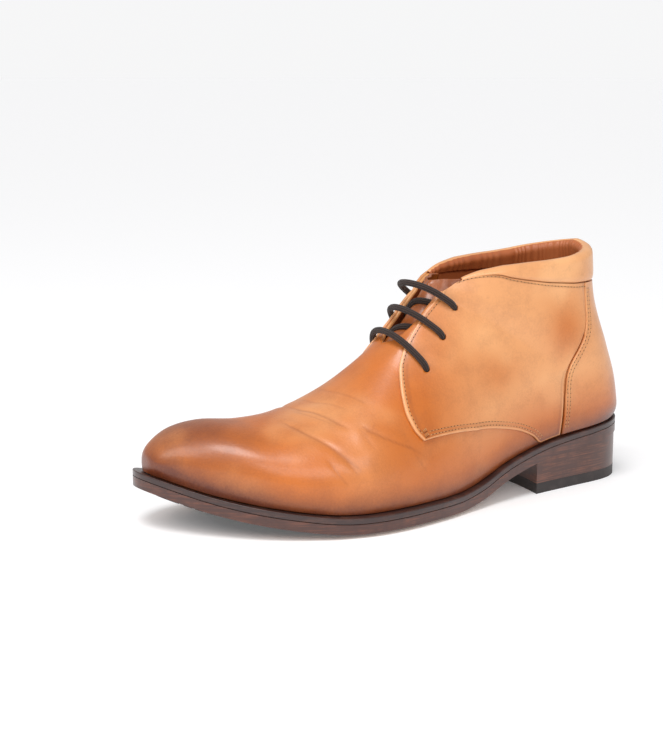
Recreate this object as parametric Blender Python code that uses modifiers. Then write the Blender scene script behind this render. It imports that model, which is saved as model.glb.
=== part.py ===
# Left lace-up ankle boot with a leather sole and three pairs of eyelets, in metres.
# The origin lies on the floor under the heel: +X to the toe, +Y to the outer side, +Z up.
import bisect
import math
from functools import partial

import bmesh
import bpy
import numpy as np
from mathutils import Matrix, Vector

SOLE_LENGTH = 0.300
HEEL_CENTRE = 0.031
BALL_WIDTH = 0.1025
SWING = 0.020
COLLAR_HEIGHT = 0.1345
BACK_LEAN = 0.0215
HEEL_RISE = 0.0245
TOE_SPRING = 0.0205
PAD_THICKNESS = 0.0017
PAD_INSET = 0.011
PAD_START = 0.49
OUTSOLE_THICKNESS = 0.0052
WELT_THICKNESS = 0.0031
SHELF_FRONT = 0.0050
SHELF_WAIST = 0.0032
SHELF_HEEL = 0.0022
HEEL_LENGTH = 0.0765
HEEL_LIFT_THICKNESS = 0.006
HEEL_SET_IN = 0.0006
BREAST_HOLLOW = 0.003
BREAST_FADE = 4
UPPER_WALL = 0.0020
OVERLAY = 0.0012
COUNTER_THICKNESS = 0.0016
COLLAR_BAND_THICKNESS = 0.0026
TONGUE_THICKNESS = 0.0022
INSOLE_RISE = 0.0006
EYELET_RADIUS = 0.0021
EYELET_SIDES = 12
LACE_RADIUS = 0.0016
GAP = 0.0003
OVERLAY_GAP = 0.0005
TONGUE_GAP = 0.0009
LACE_GAP = 0.0009
SEAM_SHARE = 0.014
BAND_SEAM = 0.022
HEEL_CLEAR = 0.13
SEAM_STEPS = 9
LOWER_SHARE = 0.38
OVERLAY_LOW = 0.92
HEEL_STATION = 14
HEEL_BEND = 7
COLLAR_STATION = 18
BAND_FRONT = 0.40
TONGUE_LOW = 8.5
TONGUE_TOP = 17.4
TONGUE_LOW_HALF = 0.20
TONGUE_TOP_HALF = 0.26
PUNCH_DEPTH = 0.019
NUDGE = 0.004
STATION_NUDGE = 0.02
RIDGE = 0.000001


# A table of sections or of points along a line, with a smooth curve through each column.
def table(names, *rows):
    key = [row[0] for row in rows]
    step = np.diff(key)
    columns = {}
    for place, name in enumerate(names.split()):
        values = np.array([row[place] for row in rows], float)
        slope = np.diff(values) / step
        middle = (slope[:-1] * step[1:] + slope[1:] * step[:-1]) / (step[1:] + step[:-1])
        least = 3 * np.minimum(abs(slope[:-1]), abs(slope[1:]))
        middle = np.clip(middle, -least, least) * (slope[:-1] * slope[1:] > 0)
        tangents = [slope[0], *middle, slope[-1]]
        columns[name] = (key, values.tolist(), [float(tangent) for tangent in tangents])
    return columns


# The value of a column at a place along the table.
def read(rows, column, at):
    key, values, tangents = rows[column]
    at = min(max(at, key[0]), key[-1])
    low = min(bisect.bisect_right(key, at) - 1, len(key) - 2)
    step = key[low + 1] - key[low]
    part = (at - key[low]) / step
    rest = 1 - part
    ends = values[low] * (1 + 2 * part) * rest**2 + values[low + 1] * part**2 * (3 - 2 * part)
    return ends + step * part * rest * (tangents[low] * rest - tangents[low + 1] * part)


# The turn runs from 0 at the back of the heel to pi at the toe, so that both ends come out round.
def turn_at(along):
    return math.acos(1 - 2 * along)


# Shares of SWING and of half BALL_WIDTH, at shares of SOLE_LENGTH from the back of the heel.
OUTLINE = table(
    "turn centre half",
    (turn_at(0.000), -0.05, 0.000),
    (turn_at(0.010), -0.05, 0.255),
    (turn_at(0.030), -0.05, 0.415),
    (turn_at(0.060), -0.04, 0.525),
    (turn_at(0.100), -0.02, 0.585),
    (turn_at(0.150), 0.02, 0.615),
    (turn_at(0.210), 0.12, 0.636),
    (turn_at(0.270), 0.29, 0.636),
    (turn_at(0.350), 0.58, 0.624),
    (turn_at(0.430), 0.86, 0.659),
    (turn_at(0.510), 1.00, 0.761),
    (turn_at(0.590), 0.91, 0.902),
    (turn_at(0.655), 0.77, 0.985),
    (turn_at(0.715), 0.60, 1.000),
    (turn_at(0.775), 0.40, 0.956),
    (turn_at(0.837), 0.17, 0.856),
    (turn_at(0.888), -0.05, 0.718),
    (turn_at(0.929), -0.21, 0.570),
    (turn_at(0.959), -0.32, 0.422),
    (turn_at(0.985), -0.38, 0.252),
    (turn_at(1.000), -0.39, 0.000),
)
# Shares of HEEL_RISE and TOE_SPRING, and how much of the front's shelf the welt shows.
PROFILE = table(
    "along heel toe shelf",
    (0.000, 1.00, 0.00, 0.0),
    (0.110, 0.87, 0.00, 0.0),
    (0.240, 0.69, 0.00, 0.0),
    (0.320, 0.46, 0.00, 0.1),
    (0.400, 0.12, 0.00, 0.3),
    (0.470, 0.00, 0.00, 0.6),
    (0.675, 0.00, 0.00, 1.0),
    (0.800, 0.00, 0.19, 1.0),
    (0.900, 0.00, 0.50, 1.0),
    (1.000, 0.00, 1.00, 1.0),
)
# Sections of the upper from the toe (0) to the collar (18). Each is a plane from its foot, on the
# sole or up the back line, to its ridge. Foot and ridge are shares of SOLE_LENGTH, back and up of
# the height from the welt to COLLAR_HEIGHT, lean of BACK_LEAN, side of SWING, and width of half
# BALL_WIDTH. Belly is the share of the plane at which it is widest, and round the power of its
# upper curve.
SECTIONS = table(
    "station foot back lean ridge up side width belly round",
    (0, 1.000, 0.00, 0.00, 0.9827, 0.008, -0.38, 0.000, 0.30, 2.2),
    (1, 0.985, 0.00, 0.00, 0.9781, 0.105, -0.37, 0.203, 0.30, 2.2),
    (2, 0.959, 0.00, 0.00, 0.9563, 0.189, -0.32, 0.361, 0.30, 2.2),
    (3, 0.919, 0.00, 0.00, 0.9197, 0.265, -0.20, 0.546, 0.30, 2.2),
    (4, 0.868, 0.00, 0.00, 0.8699, 0.311, 0.00, 0.714, 0.30, 2.2),
    (5, 0.807, 0.00, 0.00, 0.8038, 0.324, 0.24, 0.850, 0.30, 2.1),
    (6, 0.741, 0.00, 0.00, 0.7367, 0.357, 0.42, 0.928, 0.30, 2.1),
    (7, 0.664, 0.00, 0.00, 0.6767, 0.412, 0.52, 0.932, 0.30, 2.1),
    (8, 0.583, 0.00, 0.00, 0.6269, 0.483, 0.56, 0.845, 0.32, 2.1),
    (9, 0.497, 0.00, 0.00, 0.5801, 0.569, 0.56, 0.728, 0.33, 2.1),
    (10, 0.400, 0.00, 0.00, 0.5400, 0.649, 0.53, 0.665, 0.33, 2.1),
    (11, 0.288, 0.00, 0.00, 0.5089, 0.704, 0.50, 0.650, 0.31, 2.1),
    (12, 0.171, 0.00, 0.00, 0.4856, 0.773, 0.46, 0.640, 0.29, 2.1),
    (13, 0.070, 0.00, 0.00, 0.4713, 0.822, 0.42, 0.636, 0.27, 2.1),
    (14, 0.000, 0.00, 0.00, 0.4652, 0.844, 0.39, 0.634, 0.25, 2.1),
    (15, 0.000, 0.19, 0.13, 0.4612, 0.865, 0.37, 0.632, 0.26, 2.1),
    (16, 0.000, 0.41, 0.46, 0.4571, 0.882, 0.36, 0.618, 0.26, 2.1),
    (17, 0.000, 0.70, 0.88, 0.4530, 0.897, 0.34, 0.578, 0.27, 2.1),
    (18, 0.000, 1.00, 1.00, 0.4490, 0.912, 0.33, 0.548, 0.27, 2.1),
)
# The stations of the collar's rim and of the lower edge of its band, at places across the upper.
TOPLINE = table(
    "across rim band",
    (0.140, 14.50, 14.50),
    (0.164, 14.94, 14.94),
    (0.182, 15.66, 15.66),
    (0.204, 16.34, 16.34),
    (0.250, 17.13, 17.13),
    (0.303, 17.55, 17.52),
    (0.374, 17.71, 17.62),
    (0.438, 17.76, 17.45),
    (0.501, 17.79, 17.36),
    (0.563, 17.80, 17.32),
    (0.630, 17.83, 17.32),
    (0.710, 17.87, 17.34),
    (1.000, 18.00, 17.38),
)
# How far the throat's edge lies from the ridge, at stations from its lower end.
THROAT = table(
    "station across",
    (9.00, 0.000),
    (9.35, 0.032),
    (9.75, 0.066),
    (10.20, 0.096),
    (10.80, 0.120),
    (11.50, 0.130),
    (12.50, 0.136),
    (14.50, 0.144),
)


# A line across the upper by hand-picked stations and places across, evenly spaced.
def seam(*points):
    last = len(points) - 1
    return table("part station across", *[(i / last, *point) for i, point in enumerate(points)])


FRONT_EDGE = seam(
    (8.95, 0.546),
    (8.80, 0.490),
    (8.78, 0.430),
    (8.92, 0.355),
    (9.24, 0.275),
    (9.64, 0.212),
    (10.30, 0.175),
    (11.10, 0.156),
    (12.25, 0.152),
    (14.94, 0.164),
)
LOWER_SEAM = seam(
    (8.95, 0.546),
    (9.45, 0.560),
    (10.00, 0.590),
    (10.50, 0.632),
    (10.90, 0.685),
    (11.20, 0.745),
    (11.36, 0.820),
    (11.42, OVERLAY_LOW),
    (11.85, OVERLAY_LOW),
)
COUNTER_SEAM = seam(
    (11.85, OVERLAY_LOW),
    (12.14, 0.785),
    (12.53, 0.675),
    (13.03, 0.596),
    (13.65, 0.555),
    (14.72, 0.562),
    (15.57, 0.602),
    (16.18, 0.645),
    (16.74, 0.688),
    (17.34, 0.712),
)
EYELETS = ((10.20, 0.327), (11.41, 0.280), (13.23, 0.228))
# The lace's height over the upper, as a share of its height over a quarter.
LACE_LINE = ((0.245, 1.0), (0.190, 1.0), (0.150, 0.95), (0.075, 0.60), (0.0, 0.40))


# A point of the sole's edge, with side 1 for the outer side, set in by a distance.
def edge(turn, side, inset=0.0):
    def plain(at):
        x = (1 - math.cos(at)) / 2 * SOLE_LENGTH - HEEL_CENTRE
        half = read(OUTLINE, "half", at) * BALL_WIDTH / 2
        return Vector((x, read(OUTLINE, "centre", at) * SWING + side * half))

    along = plain(min(turn + NUDGE, math.pi)) - plain(max(turn - NUDGE, 0))
    if turn in (0.0, math.pi):
        along = Vector((0, side * math.cos(turn)))
    inward = Vector((along.y, -along.x)) * side
    return plain(turn) + inward.normalized() * inset


def share_at(x):
    return (x + HEEL_CENTRE) / SOLE_LENGTH


# The width of welt that shows outside the upper.
def shelf(along):
    back = SHELF_HEEL + (SHELF_WAIST - SHELF_HEEL) * min(along / 0.25, 1)
    return back + (SHELF_FRONT - back) * read(PROFILE, "shelf", along)


# The height of the leather sole's underside, of its top and of the welt's top, at a place along.
def sole_bottom(x):
    along = share_at(x)
    rise = HEEL_RISE * read(PROFILE, "heel", along) + TOE_SPRING * read(PROFILE, "toe", along)
    return PAD_THICKNESS + GAP + rise


def sole_top(x):
    return sole_bottom(x) + OUTSOLE_THICKNESS


def welt_top(x):
    return sole_top(x) + GAP + WELT_THICKNESS


# A point of the upper's outer face. Across runs from 1 at the outer side's foot over the ridge at 0
# to -1 at the inner side's foot; behind the heel both feet meet in the back line.
def skin(station, across):
    row = {name: read(SECTIONS, name, station) for name in SECTIONS}
    turn = turn_at(row["foot"])
    inset = shelf(row["foot"])
    outer = edge(turn, 1, inset)
    inner = edge(turn, -1, inset)
    middle = (outer + inner) / 2
    low = welt_top(middle.x) + 2 * GAP
    rise = COLLAR_HEIGHT - low
    foot = Vector((middle.x + BACK_LEAN * row["lean"], middle.y, low + rise * row["back"]))
    ridge_x = row["ridge"] * SOLE_LENGTH - HEEL_CENTRE
    ridge = Vector((ridge_x, row["side"] * SWING, low + rise * row["up"]))
    foot_half = (outer - inner).length / 2
    skew = min(foot_half / SHELF_FRONT / 2, 1)
    out = Vector((0, 1, 0)).lerp((outer - inner).to_3d().normalized(), skew).normalized()
    width = max(row["width"] * BALL_WIDTH / 2, foot_half)
    reach = abs(across)
    if reach < 1 - LOWER_SHARE:
        angle = math.pi / 2 * (1 - reach / (1 - LOWER_SHARE))
        up = row["belly"] + (1 - row["belly"]) * math.sin(angle) ** (2 / row["round"])
        half = width * max(math.cos(angle), 0) ** (2 / row["round"])
    else:
        angle = math.pi / 2 * (reach - 1 + LOWER_SHARE) / LOWER_SHARE
        up = row["belly"] * (1 - math.sin(angle))
        drawn = 1 - (foot_half / width) ** 2 if width > 0 else 0
        half = width * math.sqrt(max(1 - math.sin(angle) ** 2 * drawn, 0))
    return foot + (ridge - foot) * up + out * half * math.copysign(1, across)


# The direction that points out of the upper at a place.
def outward(station, across):
    low = max(station - STATION_NUDGE, 0)
    high = min(station + STATION_NUDGE, COLLAR_STATION)
    along = skin(high, across) - skin(low, across)
    over = skin(station, min(across + NUDGE, 1)) - skin(station, max(across - NUDGE, -1))
    return over.cross(along).normalized()


def lifted(station, across, lift):
    return skin(station, across) + outward(station, across) * lift


# A flat grid whose points are moved to place(a, b), with a and b from 0 to 1.
def add_sheet(mesh, along, across, place, flip=False):
    grid = bmesh.ops.create_grid(mesh, x_segments=along, y_segments=across, size=0.5)
    faces = {face for vertex in grid["verts"] for face in vertex.link_faces}
    for vertex in grid["verts"]:
        vertex.co = place(vertex.co.x + 0.5, vertex.co.y + 0.5)
    if flip:
        bmesh.ops.reverse_faces(mesh, faces=list(faces))


# A slab: the same grid twice, with a wall round it. The third value is 0 below and 1 on top.
def add_slab(mesh, along, across, place):
    grid = bmesh.ops.create_grid(mesh, x_segments=along, y_segments=across, size=0.5)
    faces = list({face for vertex in grid["verts"] for face in vertex.link_faces})
    made = bmesh.ops.extrude_face_region(mesh, geom=faces)
    top = [item for item in made["geom"] if isinstance(item, bmesh.types.BMVert)]
    bmesh.ops.translate(mesh, verts=top, vec=(0, 0, 1))
    for vertex in mesh.verts:
        vertex.co = place(vertex.co.x + 0.5, vertex.co.y + 0.5, vertex.co.z)


def material(name, colour, roughness):
    made = bpy.data.materials.new(name)
    made.use_nodes = True
    shader = made.node_tree.nodes["Principled BSDF"]
    shader.inputs["Base Color"].default_value = (*colour, 1)
    shader.inputs["Roughness"].default_value = roughness
    shader.inputs["Metallic"].default_value = 0
    return made


# Welds the mesh, turns its faces outward where it is closed, and puts it in the scene.
def finish(name, mesh, surface, collection, closed=True):
    bmesh.ops.remove_doubles(mesh, verts=mesh.verts, dist=0.00005)
    bmesh.ops.dissolve_degenerate(mesh, edges=mesh.edges, dist=0.00002)
    if closed:
        bmesh.ops.recalc_face_normals(mesh, faces=mesh.faces)
    data = bpy.data.meshes.new(name)
    mesh.to_mesh(data)
    mesh.free()
    data.materials.append(surface)
    made = bpy.data.objects.new(name, data)
    collection.objects.link(made)
    return made


def thicken(made, thickness, outside):
    solid = made.modifiers.new("wall", "SOLIDIFY")
    solid.thickness = thickness
    solid.offset = 1 if outside else -1
    solid.use_even_offset = False


def make_outsole(surface, collection):
    mesh = bmesh.new()

    def place(a, b, top):
        turn = math.pi * a
        point = edge(turn, 1).lerp(edge(turn, -1), b)
        return Vector((point.x, point.y, sole_top(point.x) if top > 0.5 else sole_bottom(point.x)))

    add_slab(mesh, along=40, across=2, place=place)
    finish("outsole", mesh, surface, collection)


def make_forefoot_pad(surface, collection):
    mesh = bmesh.new()
    start = turn_at(PAD_START)

    def place(a, b, top):
        turn = start + (math.pi - start) * a
        point = edge(turn, 1, PAD_INSET).lerp(edge(turn, -1, PAD_INSET), b)
        height = sole_bottom(point.x) - GAP
        return Vector((point.x, point.y, height if top > 0.5 else height - PAD_THICKNESS))

    add_slab(mesh, along=22, across=2, place=place)
    finish("forefoot_pad", mesh, surface, collection)


# The welt is a strip all round the sole, under the foot edge of the upper.
def make_welt(surface, collection):
    mesh = bmesh.new()
    corners = ((0, 0), (0, 1), (1, 1), (1, 0), (0, 0))

    def place(a, b):
        side = 1 if a <= 0.5 else -1
        turn = math.pi * (2 * a if a <= 0.5 else 2 - 2 * a)
        inner, top = corners[round(b * 4)]
        along = (1 - math.cos(turn)) / 2
        point = edge(turn, side, (shelf(along) + UPPER_WALL + GAP) * inner)
        height = welt_top(point.x) if top else sole_top(point.x) + GAP
        return Vector((point.x, point.y, height))

    add_sheet(mesh, along=80, across=4, place=place)
    finish("welt", mesh, surface, collection)


# The insole fills the ring of the welt and ends just above the foot edge of the upper.
def make_insole(surface, collection):
    mesh = bmesh.new()

    def place(a, b, top):
        turn = math.pi * a
        inset = shelf((1 - math.cos(turn)) / 2) + 2 * UPPER_WALL
        point = edge(turn, 1, inset).lerp(edge(turn, -1, inset), b)
        low = sole_top(point.x) + GAP
        return Vector((point.x, point.y, welt_top(point.x) + GAP + INSOLE_RISE if top > 0.5 else low))

    add_slab(mesh, along=32, across=2, place=place)
    finish("insole", mesh, surface, collection)


# The heel's block or its top lift, between two heights, with a hollow breast.
def make_heel_layer(name, bottom, top, surface, collection):
    mesh = bmesh.new()
    front = turn_at(HEEL_LENGTH / SOLE_LENGTH)

    def place(a, b, level):
        turn = front * a
        point = edge(turn, 1, HEEL_SET_IN).lerp(edge(turn, -1, HEEL_SET_IN), b)
        hollow = BREAST_HOLLOW * math.sin(math.pi * b) * a**BREAST_FADE
        height = top(point.x - hollow) if level > 0.5 else bottom(point.x - hollow)
        return Vector((point.x - hollow, point.y, height))

    add_slab(mesh, along=12, across=6, place=place)
    finish(name, mesh, surface, collection)


# The hollow wall of the upper, open at the collar, the throat and underneath.
def make_upper(surface, collection):
    mesh = bmesh.new()
    low_end = THROAT["station"][0][0]
    throat_top = THROAT["station"][0][-1]

    def place(side, a, b):
        if a <= 0.5:
            return skin(2 * a * low_end, side * max(b, RIDGE))
        part = 2 * a - 1
        start = read(THROAT, "across", low_end + (throat_top - low_end) * part)
        across = start + (1 - start) * b
        rim = read(TOPLINE, "rim", across)
        return skin(low_end + (rim - low_end) * part, side * max(across, RIDGE))

    for side in (1, -1):
        add_sheet(mesh, along=36, across=11, place=partial(place, side), flip=side > 0)
    made = finish("upper", mesh, surface, collection, closed=False)
    thicken(made, UPPER_WALL, outside=False)
    return made


def point_of(rows, part):
    return Vector((read(rows, "station", part), read(rows, "across", part)))


# A point on the line under the collar's band.
def under_band(across):
    return Vector((read(TOPLINE, "band", across), across))


# The station and place across of a panel, from its four edges: front, back, low and top.
def panel(front, back, low, top, a, b):
    flat = front(0).lerp(back(0), a).lerp(front(1).lerp(back(1), a), b)
    return front(b).lerp(back(b), a) + low(a).lerp(top(a), b) - flat


# A quarter lies between its front edge, its lower seam, the counter's seam and the band.
def quarter_place(a, b):
    first = read(FRONT_EDGE, "across", 1)
    last = read(COUNTER_SEAM, "across", 1)
    return panel(
        lambda part: point_of(FRONT_EDGE, part),
        lambda part: point_of(COUNTER_SEAM, part),
        lambda part: point_of(LOWER_SEAM, part),
        lambda part: under_band(first + (last - first) * part),
        a,
        b,
    )


# Half of the counter, from its seam to the back line. Its lower edge bends down only at the heel.
def counter_place(a, b):
    first = point_of(COUNTER_SEAM, 0)
    heel = Vector((HEEL_STATION + HEEL_CLEAR, 1))
    top = under_band(1)
    across = read(COUNTER_SEAM, "across", 1)
    return panel(
        lambda part: point_of(COUNTER_SEAM, part),
        lambda part: heel.lerp(top, part),
        lambda part: Vector((first.lerp(heel, part).x, first.lerp(heel, part**HEEL_BEND).y)),
        lambda part: under_band(across + (1 - across) * part),
        a,
        b,
    )


def make_quarter(name, side, surface, collection):
    mesh = bmesh.new()

    def place(a, b):
        station, across = quarter_place(a, b)
        return lifted(station, side * across, OVERLAY_GAP)

    add_sheet(mesh, along=18, across=SEAM_STEPS, place=place, flip=side < 0)
    made = finish(name, mesh, surface, collection, closed=False)
    thicken(made, OVERLAY, outside=True)
    return made


# The counter wraps the heel and narrows to a strip up the back, a seam's gap behind the quarters.
def make_counter(surface, collection):
    mesh = bmesh.new()

    def place(side, a, b):
        station, across = counter_place(SEAM_SHARE + (1 - SEAM_SHARE) * a, b)
        return lifted(station, side * across, OVERLAY_GAP)

    for side in (1, -1):
        add_sheet(mesh, along=12, across=SEAM_STEPS, place=partial(place, side), flip=side < 0)
    made = finish("counter", mesh, surface, collection, closed=False)
    thicken(made, COUNTER_THICKNESS, outside=True)
    return made


def make_collar_band(surface, collection):
    mesh = bmesh.new()

    def place(side, a, b):
        across = BAND_FRONT + (1 - BAND_FRONT) * a
        low = read(TOPLINE, "band", across) + BAND_SEAM
        rim = read(TOPLINE, "rim", across)
        return lifted(low + (rim - low) * b, side * across, OVERLAY_GAP)

    for side in (1, -1):
        add_sheet(mesh, along=18, across=2, place=partial(place, side), flip=side < 0)
    made = finish("collar_band", mesh, surface, collection, closed=False)
    thicken(made, COLLAR_BAND_THICKNESS, outside=True)
    return made


# The tongue lies under the wall from below the throat to the front of the collar.
def make_tongue(surface, collection):
    mesh = bmesh.new()

    def place(a, b):
        station = TONGUE_LOW + (TONGUE_TOP - TONGUE_LOW) * a
        across = (2 * b - 1) * (TONGUE_LOW_HALF + (TONGUE_TOP_HALF - TONGUE_LOW_HALF) * a)
        across = across if abs(across) > RIDGE else RIDGE
        return lifted(station, across, -UPPER_WALL - TONGUE_GAP)

    add_sheet(mesh, along=16, across=10, place=place, flip=True)
    made = finish("tongue", mesh, surface, collection, closed=False)
    thicken(made, TONGUE_THICKNESS, outside=False)
    return made


# One bar of the lace, from over an outer eyelet to over the inner one.
def make_lace_bar(name, station, surface, collection):
    curve = bpy.data.curves.new(name, "CURVE")
    curve.dimensions = "3D"
    curve.bevel_depth = LACE_RADIUS
    curve.bevel_resolution = 1
    curve.resolution_u = 1
    curve.use_fill_caps = True
    lift = OVERLAY_GAP + OVERLAY + LACE_GAP + LACE_RADIUS
    ways = [*LACE_LINE, *[(-across, share) for across, share in reversed(LACE_LINE[:-1])]]
    line = curve.splines.new("POLY")
    line.points.add(len(ways) - 1)
    for point, (across, share) in zip(line.points, ways):
        point.co = (*lifted(station, across, lift * share), 1)
    curve.materials.append(surface)
    collection.objects.link(bpy.data.objects.new(name, curve))


# Three punches through one side's eyelets, for the quarter and for the wall behind it.
def make_punches(name, side, collection):
    mesh = bmesh.new()
    for station, across in EYELETS:
        turned = outward(station, side * across).to_track_quat("Z", "Y").to_matrix().to_4x4()
        bmesh.ops.create_cone(
            mesh,
            cap_ends=True,
            segments=EYELET_SIDES,
            radius1=EYELET_RADIUS,
            radius2=EYELET_RADIUS,
            depth=PUNCH_DEPTH,
            matrix=Matrix.Translation(skin(station, side * across)) @ turned,
        )
    data = bpy.data.meshes.new(name)
    mesh.to_mesh(data)
    mesh.free()
    made = bpy.data.objects.new(name, data)
    made.display_type = "WIRE"
    made.hide_render = True
    collection.objects.link(made)
    return made


def cut(made, punches):
    hole = made.modifiers.new(punches.name, "BOOLEAN")
    hole.operation = "DIFFERENCE"
    hole.solver = "EXACT"
    hole.object = punches


def main():
    for old in list(bpy.data.objects):
        bpy.data.objects.remove(old, do_unlink=True)
    boot = bpy.data.collections.new("lace_up_boot")
    cutters = bpy.data.collections.new("boot_cutters")
    bpy.context.scene.collection.children.link(boot)
    bpy.context.scene.collection.children.link(cutters)

    tan = material("tan_leather", (0.50, 0.17, 0.035), 0.38)
    lining = material("lining_leather", (0.35, 0.10, 0.03), 0.60)
    edge_brown = material("sole_edge_leather", (0.07, 0.025, 0.014), 0.35)
    sole_leather = material("sole_leather", (0.33, 0.17, 0.10), 0.70)
    rubber = material("black_rubber", (0.02, 0.02, 0.022), 0.65)
    cord = material("brown_cord", (0.03, 0.014, 0.009), 0.80)

    make_outsole(sole_leather, boot)
    make_forefoot_pad(rubber, boot)
    make_welt(edge_brown, boot)
    make_insole(lining, boot)
    lift_top = HEEL_LIFT_THICKNESS
    stack_bottom = lift_top + GAP
    make_heel_layer("heel_stack", lambda x: stack_bottom, lambda x: sole_bottom(x) - GAP, edge_brown, boot)
    make_heel_layer("heel_lift", lambda x: 0, lambda x: lift_top, rubber, boot)

    upper = make_upper(tan, boot)
    make_tongue(tan, boot)
    make_counter(tan, boot)
    make_collar_band(tan, boot)
    for side, word in ((1, "lateral"), (-1, "medial")):
        quarter = make_quarter("quarter_" + word, side, tan, boot)
        punches = make_punches("eyelet_punches_" + word, side, cutters)
        cut(quarter, punches)
        cut(upper, punches)
    for number, (station, _) in enumerate(EYELETS, 1):
        make_lace_bar(f"lace_bar_{number}", station, cord, boot)


main()
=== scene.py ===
import math

import bmesh
import bpy
import numpy as np
from mathutils import Matrix, Vector


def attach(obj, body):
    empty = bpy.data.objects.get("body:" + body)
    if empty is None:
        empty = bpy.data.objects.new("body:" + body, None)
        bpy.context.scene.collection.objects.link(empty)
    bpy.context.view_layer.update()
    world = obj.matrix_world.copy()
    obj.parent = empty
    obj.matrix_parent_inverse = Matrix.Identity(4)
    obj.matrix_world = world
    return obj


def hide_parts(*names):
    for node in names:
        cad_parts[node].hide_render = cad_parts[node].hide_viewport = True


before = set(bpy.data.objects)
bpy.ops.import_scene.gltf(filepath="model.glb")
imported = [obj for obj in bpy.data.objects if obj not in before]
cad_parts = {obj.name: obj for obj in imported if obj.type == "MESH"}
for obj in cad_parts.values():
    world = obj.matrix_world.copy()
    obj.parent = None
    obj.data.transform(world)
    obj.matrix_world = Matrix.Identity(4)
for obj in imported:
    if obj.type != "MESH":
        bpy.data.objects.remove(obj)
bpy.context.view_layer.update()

# Lace-up ankle boot for the left foot, in metres: +X to the toe, +Y to the outer side, +Z up.
# Its shapes come from the same tables as the solids, at a finer step.

last = {
    "soleLength": 0.300,
    "heelCentre": 0.031,
    "ballWidth": 0.1025,
    "swing": 0.020,
    "collarHeight": 0.1345,
    "backLean": 0.0215,
    "heelRise": 0.0245,
    "toeSpring": 0.0205,
    "padThickness": 0.0017,
    "outsole": 0.0052,
    "welt": 0.0031,
    "gap": 0.0003,
    "shelfFront": 0.0050,
    "shelfWaist": 0.0032,
    "shelfHeel": 0.0022,
    "wall": 0.0020,
    "overlayGap": 0.0005,
    "lowerShare": 0.38,
}
heelStation = 14.0
collarStation = 18.0


def smoothTable(names, *rows):  # a smooth curve through each named column
    keys = np.array([row[0] for row in rows], float)
    step = np.diff(keys)
    columns = {}
    for place, name in enumerate(names.split()):
        values = np.array([row[place] for row in rows], float)
        slope = np.diff(values) / step
        middle = (slope[:-1] * step[1:] + slope[1:] * step[:-1]) / (step[1:] + step[:-1])
        least = 3 * np.minimum(abs(slope[:-1]), abs(slope[1:]))
        middle = np.clip(middle, -least, least) * (slope[:-1] * slope[1:] > 0)
        columns[name] = (keys, values, np.concatenate([slope[:1], middle, slope[-1:]]))
    return columns


def readTable(rows, column, at):
    keys, values, tangents = rows[column]
    at = np.clip(at, keys[0], keys[-1])
    low = np.clip(np.searchsorted(keys, at, side="right") - 1, 0, len(keys) - 2)
    step = keys[low + 1] - keys[low]
    part = (at - keys[low]) / step
    rest = 1 - part
    ends = values[low] * (1 + 2 * part) * rest**2 + values[low + 1] * part**2 * (3 - 2 * part)
    return ends + step * part * rest * (tangents[low] * rest - tangents[low + 1] * part)


def turnAt(along):  # 0 at the back of the heel, pi at the toe
    return np.arccos(np.clip(1 - 2 * np.asarray(along, float), -1, 1))


# Shares of the swing and of half the ball's width, at shares of the sole's length.
outline = smoothTable(
    "turn centre half",
    (turnAt(0.000), -0.05, 0.000),
    (turnAt(0.010), -0.05, 0.255),
    (turnAt(0.030), -0.05, 0.415),
    (turnAt(0.060), -0.04, 0.525),
    (turnAt(0.100), -0.02, 0.585),
    (turnAt(0.150), 0.02, 0.615),
    (turnAt(0.210), 0.12, 0.636),
    (turnAt(0.270), 0.29, 0.636),
    (turnAt(0.350), 0.58, 0.624),
    (turnAt(0.430), 0.86, 0.659),
    (turnAt(0.510), 1.00, 0.761),
    (turnAt(0.590), 0.91, 0.902),
    (turnAt(0.655), 0.77, 0.985),
    (turnAt(0.715), 0.60, 1.000),
    (turnAt(0.775), 0.40, 0.956),
    (turnAt(0.837), 0.17, 0.856),
    (turnAt(0.888), -0.05, 0.718),
    (turnAt(0.929), -0.21, 0.570),
    (turnAt(0.959), -0.32, 0.422),
    (turnAt(0.985), -0.38, 0.252),
    (turnAt(1.000), -0.39, 0.000),
)
profile = smoothTable(
    "along heel toe shelf",
    (0.000, 1.00, 0.00, 0.0),
    (0.110, 0.87, 0.00, 0.0),
    (0.240, 0.69, 0.00, 0.0),
    (0.320, 0.46, 0.00, 0.1),
    (0.400, 0.12, 0.00, 0.3),
    (0.470, 0.00, 0.00, 0.6),
    (0.675, 0.00, 0.00, 1.0),
    (0.800, 0.00, 0.19, 1.0),
    (0.900, 0.00, 0.50, 1.0),
    (1.000, 0.00, 1.00, 1.0),
)
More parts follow.
